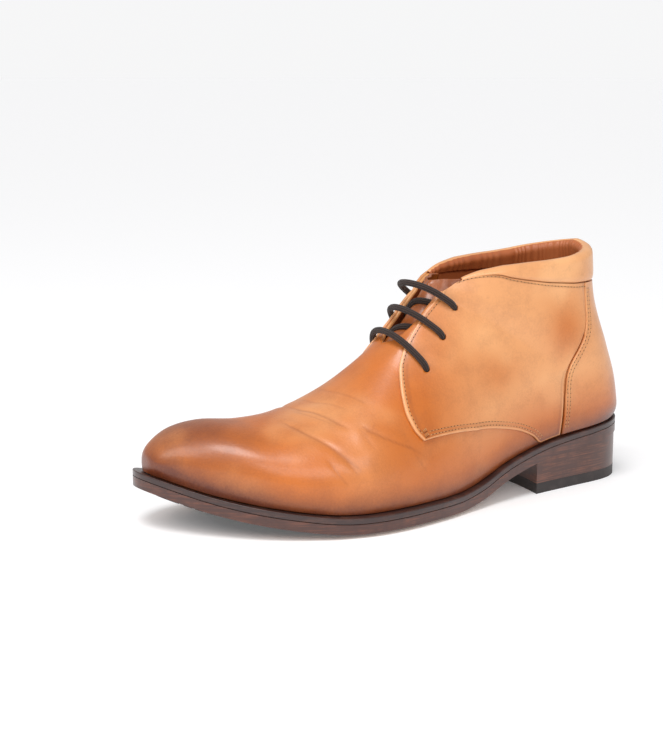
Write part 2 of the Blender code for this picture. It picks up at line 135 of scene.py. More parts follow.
# Sections of the upper from the toe (0) over the heel (14) to the collar (18).
sections = smoothTable(
    "station foot back lean ridge up side width belly round",
    (0, 1.000, 0.00, 0.00, 0.9827, 0.008, -0.38, 0.000, 0.30, 2.2),
    (1, 0.985, 0.00, 0.00, 0.9781, 0.105, -0.37, 0.203, 0.30, 2.2),
    (2, 0.959, 0.00, 0.00, 0.9563, 0.189, -0.32, 0.361, 0.30, 2.2),
    (3, 0.919, 0.00, 0.00, 0.9197, 0.265, -0.20, 0.546, 0.30, 2.2),
    (4, 0.868, 0.00, 0.00, 0.8699, 0.311, 0.00, 0.714, 0.30, 2.2),
    (5, 0.807, 0.00, 0.00, 0.8038, 0.324, 0.24, 0.850, 0.30, 2.1),
    (6, 0.741, 0.00, 0.00, 0.7367, 0.357, 0.42, 0.928, 0.30, 2.1),
    (7, 0.664, 0.00, 0.00, 0.6767, 0.412, 0.52, 0.932, 0.30, 2.1),
    (8, 0.583, 0.00, 0.00, 0.6269, 0.483, 0.56, 0.845, 0.32, 2.1),
    (9, 0.497, 0.00, 0.00, 0.5801, 0.569, 0.56, 0.728, 0.33, 2.1),
    (10, 0.400, 0.00, 0.00, 0.5400, 0.649, 0.53, 0.665, 0.33, 2.1),
    (11, 0.288, 0.00, 0.00, 0.5089, 0.704, 0.50, 0.650, 0.31, 2.1),
    (12, 0.171, 0.00, 0.00, 0.4856, 0.773, 0.46, 0.640, 0.29, 2.1),
    (13, 0.070, 0.00, 0.00, 0.4713, 0.822, 0.42, 0.636, 0.27, 2.1),
    (14, 0.000, 0.00, 0.00, 0.4652, 0.844, 0.39, 0.634, 0.25, 2.1),
    (15, 0.000, 0.19, 0.13, 0.4612, 0.865, 0.37, 0.632, 0.26, 2.1),
    (16, 0.000, 0.41, 0.46, 0.4571, 0.882, 0.36, 0.618, 0.26, 2.1),
    (17, 0.000, 0.70, 0.88, 0.4530, 0.897, 0.34, 0.578, 0.27, 2.1),
    (18, 0.000, 1.00, 1.00, 0.4490, 0.912, 0.33, 0.548, 0.27, 2.1),
)
topline = smoothTable(
    "across rim band",
    (0.140, 14.50, 14.50),
    (0.164, 14.94, 14.94),
    (0.182, 15.66, 15.66),
    (0.204, 16.34, 16.34),
    (0.250, 17.13, 17.13),
    (0.303, 17.55, 17.52),
    (0.374, 17.71, 17.62),
    (0.438, 17.76, 17.45),
    (0.501, 17.79, 17.36),
    (0.563, 17.80, 17.32),
    (0.630, 17.83, 17.32),
    (0.710, 17.87, 17.34),
    (1.000, 18.00, 17.38),
)
# The vamp runs on under the lace to the second of these, and then parts for the tongue.
throat = smoothTable(
    "station across",
    (9.00, 0.000),
    (9.85, 0.000),
    (10.02, 0.040),
    (10.25, 0.080),
    (10.80, 0.116),
    (11.50, 0.130),
    (12.50, 0.136),
    (14.50, 0.144),
)


def seamLine(*points):
    end = len(points) - 1
    return smoothTable("part station across", *[(i / end, *point) for i, point in enumerate(points)])


overlayLow = 0.92
frontEdge = seamLine(
    (8.95, 0.546),
    (8.80, 0.490),
    (8.78, 0.430),
    (8.92, 0.355),
    (9.24, 0.275),
    (9.64, 0.212),
    (10.30, 0.175),
    (11.10, 0.156),
    (12.25, 0.152),
    (14.94, 0.164),
)
lowerSeam = seamLine(
    (8.95, 0.546),
    (9.45, 0.560),
    (10.00, 0.590),
    (10.50, 0.632),
    (10.90, 0.685),
    (11.20, 0.745),
    (11.36, 0.820),
    (11.42, overlayLow),
    (11.85, overlayLow),
)
counterSeam = seamLine(
    (11.85, overlayLow),
    (12.14, 0.785),
    (12.53, 0.675),
    (13.03, 0.596),
    (13.65, 0.555),
    (14.72, 0.562),
    (15.57, 0.602),
    (16.18, 0.645),
    (16.74, 0.688),
    (17.34, 0.712),
)
bandFront = 0.25
eyelets = ((10.20, 0.327), (11.41, 0.280), (13.23, 0.228))


def soleEdge(turn, side, inset=0.0):
    turn = np.asarray(turn, float)

    def plain(at):
        x = (1 - np.cos(at)) / 2 * last["soleLength"] - last["heelCentre"]
        half = readTable(outline, "half", at) * last["ballWidth"] / 2
        return np.stack([x, readTable(outline, "centre", at) * last["swing"] + side * half], -1)

    along = plain(np.minimum(turn + 0.004, math.pi)) - plain(np.maximum(turn - 0.004, 0))
    atTip = (turn < 1e-6) | (turn > math.pi - 1e-6)
    square = np.stack([0 * turn, side * np.cos(turn)], -1)
    along = np.where(atTip[..., None], square, along)
    inward = np.stack([along[..., 1], -along[..., 0]], -1) * side
    inward = inward / np.linalg.norm(inward, axis=-1, keepdims=True)
    return plain(turn) + inward * np.asarray(inset)[..., None]


def shelfAt(along):
    back = last["shelfHeel"] + (last["shelfWaist"] - last["shelfHeel"]) * np.minimum(along / 0.25, 1)
    return back + (last["shelfFront"] - back) * readTable(profile, "shelf", along)


def soleBottom(x):
    along = (x + last["heelCentre"]) / last["soleLength"]
    rise = last["heelRise"] * readTable(profile, "heel", along)
    rise = rise + last["toeSpring"] * readTable(profile, "toe", along)
    return last["padThickness"] + last["gap"] + rise


def soleTop(x):
    return soleBottom(x) + last["outsole"]


def weltTop(x):
    return soleTop(x) + last["gap"] + last["welt"]


def rawSkin(station, across):  # a point of the upper's outer face
    station = np.asarray(station, float)
    across = np.asarray(across, float)
    row = {name: readTable(sections, name, station) for name in sections}
    turn = turnAt(row["foot"])
    inset = shelfAt(row["foot"])
    outer = soleEdge(turn, 1, inset)
    inner = soleEdge(turn, -1, inset)
    middle = (outer + inner) / 2
    low = weltTop(middle[..., 0]) + 2 * last["gap"]
    rise = last["collarHeight"] - low
    foot = np.stack([middle[..., 0] + last["backLean"] * row["lean"], middle[..., 1], low + rise * row["back"]], -1)
    ridgeX = row["ridge"] * last["soleLength"] - last["heelCentre"]
    ridge = np.stack([ridgeX, row["side"] * last["swing"], low + rise * row["up"]], -1)
    wide = outer - inner
    footHalf = np.linalg.norm(wide, axis=-1) / 2
    skew = np.minimum(footHalf / last["shelfFront"] / 2, 1)[..., None]
    flat = np.concatenate([wide, 0 * wide[..., :1]], -1) / np.maximum(2 * footHalf, 1e-9)[..., None]
    out = np.array([0.0, 1.0, 0.0]) * (1 - skew) + flat * skew
    out = out / np.linalg.norm(out, axis=-1, keepdims=True)
    width = np.maximum(row["width"] * last["ballWidth"] / 2, footHalf)
    reach = abs(across)
    share = last["lowerShare"]
    angle = math.pi / 2 * np.clip(1 - reach / (1 - share), 0, 1)
    highUp = row["belly"] + (1 - row["belly"]) * np.sin(angle) ** (2 / row["round"])
    highHalf = width * np.maximum(np.cos(angle), 0) ** (2 / row["round"])
    angle = math.pi / 2 * np.clip((reach - 1 + share) / share, 0, 1)
    lowUp = row["belly"] * (1 - np.sin(angle))
    drawn = 1 - (footHalf / np.maximum(width, 1e-9)) ** 2
    lowHalf = width * np.sqrt(np.maximum(1 - np.sin(angle) ** 2 * drawn, 0))
    up = np.where(reach < 1 - share, highUp, lowUp)[..., None]
    half = np.where(reach < 1 - share, highHalf, lowHalf) * np.where(across < 0, -1, 1)
    return foot + (ridge - foot) * up + out * half[..., None]


def skin(station, across):  # the same face, with the bend round the heel eased over half a station
    station = np.asarray(station, float)
    ease = 0.55 * np.clip(1 - (abs(station - heelStation) - 0.5) / 1.4, 0, 1)
    total = 0
    for step, weight in ((-1, 1), (-0.5, 2), (0, 3), (0.5, 2), (1, 1)):
        total = total + weight / 9 * rawSkin(station + step * ease, across)
    return total


def outward(station, across):
    station = np.asarray(station, float)
    across = np.asarray(across, float)
    low = np.maximum(station - 0.02, 0)
    high = np.minimum(station + 0.02, collarStation)
    along = skin(high, across) - skin(low, across)
    over = skin(station, np.minimum(across + 0.004, 1)) - skin(station, np.maximum(across - 0.004, -1))
    normal = np.cross(over, along)
    return normal / np.maximum(np.linalg.norm(normal, axis=-1, keepdims=True), 1e-12)


def lifted(station, across, lift):
    return skin(station, across) + outward(station, across) * np.asarray(lift)[..., None]


def onSkin(points, station, across):  # the stations and places on the skin nearest to given points
    for turn in range(8):
        along = (skin(station + 0.01, across) - skin(station - 0.01, across)) / 0.02
        over = (skin(station, across + 0.002) - skin(station, across - 0.002)) / 0.004
        away = points - skin(station, across)
        aa, ao, oo = (along * along).sum(1), (along * over).sum(1), (over * over).sum(1)
        ad, od = (along * away).sum(1), (over * away).sum(1)
        size = np.maximum(aa * oo - ao * ao, 1e-20)
        station = station + np.clip((oo * ad - ao * od) / size, -0.3, 0.3)
        across = across + np.clip((aa * od - ao * ad) / size, -0.05, 0.05)
    return station, across


def evenSeam(line, side, count=48):  # the seam as one smooth line in space
    keys = line["station"][0]
    part = np.linspace(0, 1, count + 1)
    station = np.interp(part, keys, line["station"][1])
    across = np.interp(part, keys, line["across"][1])
    knots = skin(line["station"][1], side * line["across"][1])
    points = np.stack([np.interp(part, keys, knots[:, k]) for k in range(3)], -1)
    for turn in range(30):
        points[1:-1] = (points[:-2] + 2 * points[1:-1] + points[2:]) / 4
    station, across = onSkin(points, station, side * across)
    return seamLine(*zip(station, side * across))


def besideLine(station, across, distance, towards):  # a line beside another on the skin, on the side of a place
    points = skin(station, across)
    ways = np.gradient(points, axis=0)
    off = np.cross(ways, outward(station, across))
    off = off / np.linalg.norm(off, axis=1, keepdims=True)
    middle = len(points) // 2
    target = skin(np.array([towards[0]]), np.array([towards[1]]))[0]
    sign = 1 if (target - points[middle]) @ off[middle] > 0 else -1
    return onSkin(points + sign * distance * off, station, across)


def spaced(count, size, low=True, high=True):  # closer rows near the ends, for rounded edges and stitched lines
    near = np.array([0.0, 0.12, 0.35, 0.7, 1.3]) * 0.001 / size
    first = near if low else np.zeros(1)
    final = 1 - near[::-1] if high else np.ones(1)
    inner = np.linspace(first[-1], final[0], count + 3 - len(first) - len(final))[1:-1]
    return np.concatenate([first, inner, final])


def bump(distance, width):
    return np.exp(-((distance / width) ** 2))


def nearest(points, line):  # distance to a line of points, and the share of the way along it
    best = np.full(len(points), 9.0)
    where = np.zeros(len(points))
    for i in range(len(line) - 1):
        step = line[i + 1] - line[i]
        part = np.clip(((points - line[i]) @ step) / max(step @ step, 1e-12), 0, 1)
        away = np.linalg.norm(points - line[i] - part[:, None] * step, axis=1)
        closer = away < best
        best = np.where(closer, away, best)
        where = np.where(closer, (i + part) / (len(line) - 1), where)
    return best, where


counterSeams = {side: evenSeam(counterSeam, side) for side in (1, -1)}

# ---- meshes


def setPlaces(mesh, start, level, rows, columns, place):  # place takes arrays and gives points and marks
    mesh.verts.ensure_lookup_table()
    spots = np.array([vert.co[:2] for vert in mesh.verts[start:]]) + 0.5
    a = np.interp(spots[:, 0], np.linspace(0, 1, len(rows)), rows)
    b = np.interp(spots[:, 1], np.linspace(0, 1, len(columns)), columns)
    points, marks = place(a, b) if level is None else place(a, b, level)
    for name in marks:
        if name not in mesh.verts.layers.float:
            mesh.verts.layers.float.new(name)
    mesh.verts.ensure_lookup_table()
    verts = mesh.verts[start:]
    for vert, point in zip(verts, points.tolist()):
        vert.co = point
    for name, values in marks.items():
        layer = mesh.verts.layers.float[name]
        for vert, value in zip(verts, values.tolist()):
            vert[layer] = value


def addGrid(mesh, rows, columns, place, flip=False):
    start = len(mesh.verts)
    made = bmesh.ops.create_grid(mesh, x_segments=len(rows) - 1, y_segments=len(columns) - 1, size=0.5)
    if flip:
        faces = {face for vert in made["verts"] for face in vert.link_faces}
        bmesh.ops.reverse_faces(mesh, faces=list(faces))
    setPlaces(mesh, start, None, rows, columns, place)


def addSlab(mesh, rows, columns, place):  # place also takes the level: 0 below, 1 on top
    start = len(mesh.verts)
    made = bmesh.ops.create_grid(mesh, x_segments=len(rows) - 1, y_segments=len(columns) - 1, size=0.5)
    faces = {face for vert in made["verts"] for face in vert.link_faces}
    count = len(mesh.verts) - start
    bmesh.ops.extrude_face_region(mesh, geom=list(faces))
    level = (np.arange(len(mesh.verts) - start) >= count).astype(float)
    setPlaces(mesh, start, level, rows, columns, place)


def finishPiece(name, mesh, surfaces, nodes, closed=True, smooth=True):
    bmesh.ops.remove_doubles(mesh, verts=mesh.verts, dist=0.00001)
    if closed:
        bmesh.ops.recalc_face_normals(mesh, faces=mesh.faces)
    data = bpy.data.meshes.new(name)
    mesh.to_mesh(data)
    mesh.free()
    if smooth:
        data.shade_smooth()
    for surface in surfaces:
        data.materials.append(surface)
    piece = bpy.data.objects.new(name, data)
    bpy.context.scene.collection.objects.link(piece)
    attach(piece, "root")
    if nodes:
        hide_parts(*nodes)
    return piece


def addWall(piece, thickness, outside, inner=0, rim=0):
    solid = piece.modifiers.new("wall", "SOLIDIFY")
    solid.thickness = thickness
    solid.offset = 1 if outside else -1
    solid.use_even_offset = False
    solid.material_offset = inner
    solid.material_offset_rim = rim


def addBevel(piece, width, segments=2, angle=40):
    bevel = piece.modifiers.new("edges", "BEVEL")
    bevel.width = width
    bevel.segments = segments
    bevel.limit_method = "ANGLE"
    bevel.angle_limit = math.radians(angle)
    bevel.harden_normals = False


# ---- materials


def newGroup(name, inputs, outputs):
    group = bpy.data.node_groups.new(name, "ShaderNodeTree")
    for label, kind, value in inputs:
        socket = group.interface.new_socket(name=label, in_out="INPUT", socket_type=kind)
        socket.default_value = value
    for label, kind in outputs:
        group.interface.new_socket(name=label, in_out="OUTPUT", socket_type=kind)
    return group, group.nodes.new("NodeGroupInput"), group.nodes.new("NodeGroupOutput")


def addNode(tree, kind, links=None, **settings):
    node = tree.nodes.new(kind)
    for key, value in settings.items():
        if key.startswith("in_"):
            label = key[3:]
            socket = node.inputs[int(label)] if label.isdigit() else node.inputs[label.replace("_", " ")]
            socket.default_value = value
        else:
            setattr(node, key, value)
    for label, source in (links or {}).items():
        socket = node.inputs[label]
        tree.links.new(source, socket)
    return node


def mixColour(tree, factor, first, second, blend="MIX"):
    node = tree.nodes.new("ShaderNodeMix")
    node.data_type = "RGBA"
    node.blend_type = blend
    for socket, value in ((node.inputs[0], factor), (node.inputs[6], first), (node.inputs[7], second)):
        if isinstance(value, bpy.types.NodeSocket):
            tree.links.new(value, socket)
        else:
            socket.default_value = value
    return node.outputs[2]


def mathNode(tree, operation, first, second=0.5, clamp=False):
    node = tree.nodes.new("ShaderNodeMath")
    node.operation = operation
    node.use_clamp = clamp
    for socket, value in ((node.inputs[0], first), (node.inputs[1], second)):
        if isinstance(value, bpy.types.NodeSocket):
            tree.links.new(value, socket)
        else:
            socket.default_value = value
    return node.outputs[0]


def rampNode(tree, value, low, high):
    node = tree.nodes.new("ShaderNodeMapRange")
    node.interpolation_type = "SMOOTHSTEP"
    node.inputs["From Min"].default_value = low
    node.inputs["From Max"].default_value = high
    tree.links.new(value, node.inputs["Value"])
    return node.outputs["Result"]


def noiseNode(tree, place, scale, detail=3.0, roughness=0.5):
    node = tree.nodes.new("ShaderNodeTexNoise")
    node.inputs["Scale"].default_value = scale
    node.inputs["Detail"].default_value = detail
    node.inputs["Roughness"].default_value = roughness
    tree.links.new(place, node.inputs["Vector"])
    return node.outputs["Fac"]


def makeGrainGroup():  # fine pores and cells of a polished hide
    group, entry, out = newGroup(
        "leatherGrain",
        [("Cell size", "NodeSocketFloat", 900.0)],
        [("Height", "NodeSocketFloat"), ("Speckle", "NodeSocketFloat")],
    )
    place = group.nodes.new("ShaderNodeTexCoord").outputs["Object"]
    cells = group.nodes.new("ShaderNodeTexVoronoi")
    cells.feature = "F1"
    group.links.new(place, cells.inputs["Vector"])
    group.links.new(entry.outputs["Cell size"], cells.inputs["Scale"])
    fine = noiseNode(group, place, 1700.0, 2.0)
    pits = noiseNode(group, place, 420.0, 3.0)
    height = mathNode(group, "ADD", mathNode(group, "MULTIPLY", cells.outputs["Distance"], 0.6), fine)
    group.links.new(mathNode(group, "ADD", height, mathNode(group, "MULTIPLY", pits, 0.8)), out.inputs["Height"])
    group.links.new(mathNode(group, "ADD", fine, pits), out.inputs["Speckle"])
    return group


def makeHideGroup():  # the uneven colour of a hide that was dyed and burnished by hand; its burnish and crease inputs also carry painted shade
    colour = "NodeSocketColor"
    group, entry, out = newGroup(
        "burnishedHide",
        [
            ("Base", colour, (0.56, 0.20, 0.04, 1)),
            ("Pale", colour, (0.72, 0.34, 0.12, 1)),
            ("Dark", colour, (0.28, 0.07, 0.015, 1)),
            ("Burnish", "NodeSocketFloat", 0.0),
            ("Lightness", "NodeSocketFloat", 0.0),
            ("Crease", "NodeSocketFloat", 0.0),
        ],
        [("Color", colour), ("Roughness", "NodeSocketFloat")],
    )
    place = group.nodes.new("ShaderNodeTexCoord").outputs["Object"]
    broad = noiseNode(group, place, 26.0, 2.0, 0.5)
    cloud = noiseNode(group, place, 75.0, 4.0, 0.6)
    speck = noiseNode(group, place, 900.0, 2.0, 0.6)
    pale = mathNode(group, "ADD", entry.outputs["Lightness"], mathNode(group, "MULTIPLY", rampNode(group, broad, 0.45, 0.75), 0.35), True)
    tone = mixColour(group, pale, entry.outputs["Base"], entry.outputs["Pale"])
    # burnish and random wear, with the painted shade that the burnish input carries, mixed toward the dark tone
    worn = mathNode(group, "ADD", entry.outputs["Burnish"], mathNode(group, "MULTIPLY", mathNode(group, "SUBTRACT", cloud, 0.5), 0.55))
    worn = mathNode(group, "ADD", worn, mathNode(group, "MULTIPLY", mathNode(group, "SUBTRACT", speck, 0.5), 0.30), True)
    tone = mixColour(group, worn, tone, entry.outputs["Dark"])
    # painted shade in the creases, mixed toward the dark tone
    tone = mixColour(group, mathNode(group, "MULTIPLY", entry.outputs["Crease"], 0.55), tone, entry.outputs["Dark"])
    group.links.new(tone, out.inputs["Color"])
    rough = mathNode(group, "ADD", mathNode(group, "MULTIPLY", cloud, 0.14), mathNode(group, "MULTIPLY", speck, 0.10))
    group.links.new(mathNode(group, "ADD", rough, 0.30), out.inputs["Roughness"])
    return group


def startMaterial(name):
    made = bpy.data.materials.new(name)
    made.use_nodes = True
    tree = made.node_tree
    return made, tree, tree.nodes["Principled BSDF"]


def attributeOf(tree, name):
    node = tree.nodes.new("ShaderNodeAttribute")
    node.attribute_name = name
    return node.outputs["Fac"]


def addBump(tree, shader, height, strength, distance):
    node = tree.nodes.new("ShaderNodeBump")
    node.inputs["Strength"].default_value = strength
    node.inputs["Distance"].default_value = distance
    tree.links.new(height, node.inputs["Height"])
    tree.links.new(node.outputs["Normal"], shader.inputs["Normal"])
    return node


grainGroup = makeGrainGroup()
hideGroup = makeHideGroup()


def makeLeather(name, base, pale, dark, marks=True, coat=0.40, grain=0.55):
    made, tree, shader = startMaterial(name)
    hide = tree.nodes.new("ShaderNodeGroup")
    hide.node_tree = hideGroup
    for label, value in (("Base", base), ("Pale", pale), ("Dark", dark)):
        hide.inputs[label].default_value = (*value, 1)
    if marks:
        for label, attribute in (("Burnish", "burnish"), ("Lightness", "pale"), ("Crease", "crease")):
            tree.links.new(attributeOf(tree, attribute), hide.inputs[label])
    grainNode = tree.nodes.new("ShaderNodeGroup")
    grainNode.node_tree = grainGroup
    tree.links.new(hide.outputs["Color"], shader.inputs["Base Color"])
    tree.links.new(hide.outputs["Roughness"], shader.inputs["Roughness"])
    addBump(tree, shader, grainNode.outputs["Height"], grain, 0.00012)
    shader.inputs["Coat Weight"].default_value = coat
    shader.inputs["Coat Roughness"].default_value = 0.22
    shader.inputs["Specular IOR Level"].default_value = 0.5
    return made


tanColours = {"base": (0.53, 0.135, 0.012), "pale": (0.80, 0.40, 0.17), "dark": (0.13, 0.024, 0.005)}
tanLeather = makeLeather("tanLeather", **tanColours)
cutEdge = makeLeather("cutEdge", (0.62, 0.27, 0.09), (0.72, 0.38, 0.16), (0.40, 0.14, 0.04), marks=False, coat=0.1)
liningLeather = makeLeather("liningLeather", (0.44, 0.115, 0.032), (0.56, 0.20, 0.075), (0.20, 0.045, 0.015), marks=False, coat=0.0, grain=0.5)


def makeSoleEdge(name, base, streak, scale, coat=0.3):  # stained and waxed leather, with streaks along the layers
    made, tree, shader = startMaterial(name)
    place = tree.nodes.new("ShaderNodeTexCoord").outputs["Object"]
    mapping = tree.nodes.new("ShaderNodeMapping")
    mapping.inputs["Scale"].default_value = scale
    tree.links.new(place, mapping.inputs["Vector"])
    streaks = noiseNode(tree, mapping.outputs["Vector"], 1.0, 5.0, 0.62)
    blotch = noiseNode(tree, place, 130.0, 3.0, 0.6)
    mask = mathNode(tree, "MULTIPLY", rampNode(tree, streaks, 0.42, 0.68), rampNode(tree, blotch, 0.30, 0.62))
    tree.links.new(mixColour(tree, mask, (*base, 1), (*streak, 1)), shader.inputs["Base Color"])
    rough = mathNode(tree, "ADD", mathNode(tree, "MULTIPLY", streaks, 0.25), 0.22)
    tree.links.new(rough, shader.inputs["Roughness"])
    addBump(tree, shader, streaks, 0.25, 0.0002)
    shader.inputs["Coat Weight"].default_value = coat
    shader.inputs["Coat Roughness"].default_value = 0.3
    return made


weltBrown = makeSoleEdge("weltBrown", (0.035, 0.016, 0.014), (0.085, 0.035, 0.025), (60, 60, 900))
soleBrown = makeSoleEdge("soleBrown", (0.060, 0.022, 0.016), (0.150, 0.050, 0.028), (50, 50, 1300))
heelBrown = makeSoleEdge("heelBrown", (0.062, 0.020, 0.013), (0.170, 0.055, 0.028), (45, 45, 1600))


def makeSoleLeather():
    made, tree, shader = startMaterial("soleLeather")
    place = tree.nodes.new("ShaderNodeTexCoord").outputs["Object"]
    cloud = noiseNode(tree, place, 60.0, 5.0, 0.6)
    speck = noiseNode(tree, place, 700.0, 3.0, 0.7)
    tone = mixColour(tree, rampNode(tree, cloud, 0.3, 0.7), (0.20, 0.095, 0.060, 1), (0.36, 0.19, 0.12, 1))
    tone = mixColour(tree, rampNode(tree, speck, 0.60, 0.72), tone, (0.62, 0.46, 0.34, 1))
    worn = attributeOf(tree, "worn")
    tone = mixColour(tree, worn, tone, (0.62, 0.42, 0.26, 1))
    # darker in the stitch channel: painted shade in its groove
    tone = mixColour(tree, attributeOf(tree, "channel"), tone, (0.10, 0.045, 0.03, 1))
    tree.links.new(tone, shader.inputs["Base Color"])
    shader.inputs["Roughness"].default_value = 0.72
    addBump(tree, shader, mathNode(tree, "ADD", cloud, speck), 0.4, 0.0003)
    return made


def makeRubber(name, colour, roughness):
    made, tree, shader = startMaterial(name)
    place = tree.nodes.new("ShaderNodeTexCoord").outputs["Object"]
    dust = noiseNode(tree, place, 160.0, 4.0, 0.6)
    fine = noiseNode(tree, place, 1500.0, 2.0, 0.5)
    pale = tuple(channel * 1.6 + 0.004 for channel in colour)
    tree.links.new(mixColour(tree, rampNode(tree, dust, 0.45, 0.75), (*colour, 1), (*pale, 1)), shader.inputs["Base Color"])
    tree.links.new(mathNode(tree, "ADD", mathNode(tree, "MULTIPLY", dust, 0.2), roughness), shader.inputs["Roughness"])
    addBump(tree, shader, fine, 0.3, 0.0002)
    return made


def makeCord():  # round braid, read along the lace's own UV map
    made, tree, shader = startMaterial("waxedCord")
    uv = tree.nodes.new("ShaderNodeUVMap")
    uv.uv_map = "laceUv"
    mapping = tree.nodes.new("ShaderNodeMapping")
    tree.links.new(uv.outputs["UV"], mapping.inputs["Vector"])
    first = addNode(tree, "ShaderNodeTexWave", {"Vector": mapping.outputs["Vector"]}, wave_type="BANDS", bands_direction="DIAGONAL")
    first.inputs["Scale"].default_value = 6.0
    place = tree.nodes.new("ShaderNodeTexCoord").outputs["Object"]
    fluff = noiseNode(tree, place, 1300.0, 3.0, 0.7)
    height = mathNode(tree, "ADD", first.outputs["Fac"], fluff)
    # raised strands of the braid painted lighter and its grooves darker: painted highlight and shade
    tone = mixColour(tree, rampNode(tree, height, 0.6, 1.5), (0.010, 0.005, 0.004, 1), (0.045, 0.022, 0.015, 1))
    tree.links.new(tone, shader.inputs["Base Color"])
    shader.inputs["Roughness"].default_value = 0.85
    shader.inputs["Sheen Weight"].default_value = 0.08
    shader.inputs["Sheen Roughness"].default_value = 0.5
    addBump(tree, shader, height, 0.8, 0.0004)
    return made


def makeThread(name, colour, dark):
    made, tree, shader = startMaterial(name)
    place = tree.nodes.new("ShaderNodeTexCoord").outputs["Object"]
    twist = noiseNode(tree, place, 2500.0, 2.0, 0.6)
    tree.links.new(mixColour(tree, rampNode(tree, twist, 0.35, 0.65), (*dark, 1), (*colour, 1)), shader.inputs["Base Color"])
    shader.inputs["Roughness"].default_value = 0.6
    addBump(tree, shader, twist, 0.5, 0.0001)
    return made


soleLeather = makeSoleLeather()
treadRubber = makeRubber("treadRubber", (0.022, 0.022, 0.024), 0.50)
liftRubber = makeRubber("liftRubber", (0.024, 0.017, 0.016), 0.42)
waxedCord = makeCord()
tanThread = makeThread("tanThread", (0.62, 0.36, 0.15), (0.38, 0.19, 0.07))
soleThread = makeThread("soleThread", (0.20, 0.060, 0.030), (0.10, 0.028, 0.015))
# dark beads painted as the shade inside the needle holes
needleHoleShade = makeThread("needleHoleShade", (0.060, 0.020, 0.008), (0.030, 0.010, 0.005))
print("materials ready")

# ---- upper: vamp and shaft wall

upperLook = {
    "rows": 250,
    "columns": 74,
    "frontShare": 0.66,  # share of the rows that lie in front of the throat
    "creaseShadeStrength": 0.6,
}
# Folds that walking has left: places (station, across), depth and width in millimetres.
creases = (
    (((6.36, -0.10), (6.37, 0.02), (6.53, 0.085), (6.66, 0.161), (6.81, 0.239), (6.98, 0.300)), 0.85, 1.5),
    (((6.22, 0.00), (6.30, 0.071), (6.47, 0.155), (6.69, 0.227)), 0.40, 1.1),
    (((5.62, 0.060), (5.69, 0.148), (5.90, 0.247), (6.17, 0.330), (6.42, 0.409), (6.64, 0.479), (6.90, 0.552)), 0.75, 1.7),
    (((6.04, 0.425), (6.17, 0.493), (6.30, 0.549), (6.48, 0.613)), 0.45, 1.1),
    (((6.30, 0.400), (6.49, 0.448), (6.63, 0.506), (6.80, 0.573)), 0.35, 1.0),
    (((7.30, 0.300), (7.48, 0.363), (7.81, 0.434), (8.17, 0.496), (8.56, 0.551), (8.84, 0.612)), 0.60, 1.4),
    (((8.54, 0.558), (8.66, 0.617), (8.75, 0.682)), 0.35, 1.1),
    (((7.25, 0.300), (7.29, 0.392), (7.38, 0.464)), 0.25, 1.3),
    (((7.45, -0.12), (7.49, 0.00), (7.62, 0.088), (7.80, 0.186), (7.94, 0.261)), 0.35, 1.5),
    (((6.90, -0.20), (6.84, 0.00), (7.10, 0.095), (7.33, 0.212)), 0.35, 1.6),
    (((6.40, -0.12), (6.60, -0.24), (6.86, -0.36), (7.02, -0.47)), 0.70, 1.5),
    (((5.80, -0.18), (6.10, -0.34), (6.38, -0.46), (6.70, -0.56)), 0.60, 1.6),
    (((7.10, -0.28), (7.50, -0.40), (7.90, -0.50), (8.30, -0.58)), 0.50, 1.4),
    (((6.95, -0.42), (7.15, -0.52), (7.30, -0.62)), 0.30, 1.2),
)


creaseLook = {"deep": 0.46, "ridge": 0.20, "wide": 1.05}


def creaseMarks(points):  # how far the skin is pushed in or out, and the painted shade along the fold
    push = np.zeros(len(points))
    dark = np.zeros(len(points))
    for line, depth, width in creases:
        steps = np.linspace(0, len(line) - 1, 8 * len(line))
        stations = np.interp(steps, range(len(line)), [spot[0] for spot in line])
        places = np.interp(steps, range(len(line)), [spot[1] for spot in line])
        away, where = nearest(points, skin(stations, places))
        fade = np.clip(np.minimum(where, 1 - where) * 5, 0, 1) ** 0.7
        size = width * creaseLook["wide"] * 0.001
        push = push - depth * creaseLook["deep"] * 0.001 * fade * bump(away, size)
        push = push + depth * creaseLook["ridge"] * 0.001 * fade * bump(away - 2.4 * size, 1.8 * size)
        # painted shade along each fold, darkest along its middle
        dark = np.maximum(dark, fade * bump(away, 0.45 * size) * min(depth / 0.7, 1))
    return push, dark


def softWaves(points):  # slight unevenness of worn leather over a last
    x, y, z = (points * 1000).T
    wave = np.sin(x / 11 + 0.7 * np.sin(y / 9)) * np.sin(y / 13 + z / 17) + 0.5 * np.sin(x / 5.3 + y / 7.1 + 1.3)
    return wave * 0.00012


def hideMarks(points, station, across):
    x, y, z = points.T
    height = (z - weltTop(x)) * 1000
    toe = np.clip((x - 0.205) / 0.060, 0, 1)
    low = np.clip(1 - height / 16, 0, 1)
    toeTop = bump(x - 0.238, 0.020) * np.clip((height - 14) / 18, 0, 1)
    heel = np.clip((0.015 - x) / 0.05, 0, 1) * np.clip(1 - height / 38, 0, 1)
    burnish = np.clip(0.04 + 0.95 * low**1.5 + 0.58 * toe**1.1 + 0.36 * toeTop + 0.50 * heel, 0, 0.95)
    shaft = np.clip((0.125 - x) / 0.045, 0, 1) * np.clip((height - 12) / 26, 0, 1)
    blotch = bump(x - 0.026, 0.013) * bump(z - 0.092, 0.015) + 0.7 * bump(x - 0.075, 0.016) * bump(z - 0.072, 0.012)
    pale = np.clip(0.72 * shaft * (1 - 0.8 * blotch) + 0.22 * bump(x - 0.170, 0.016) * np.clip(height / 20, 0, 1), 0, 1)
    return burnish, pale


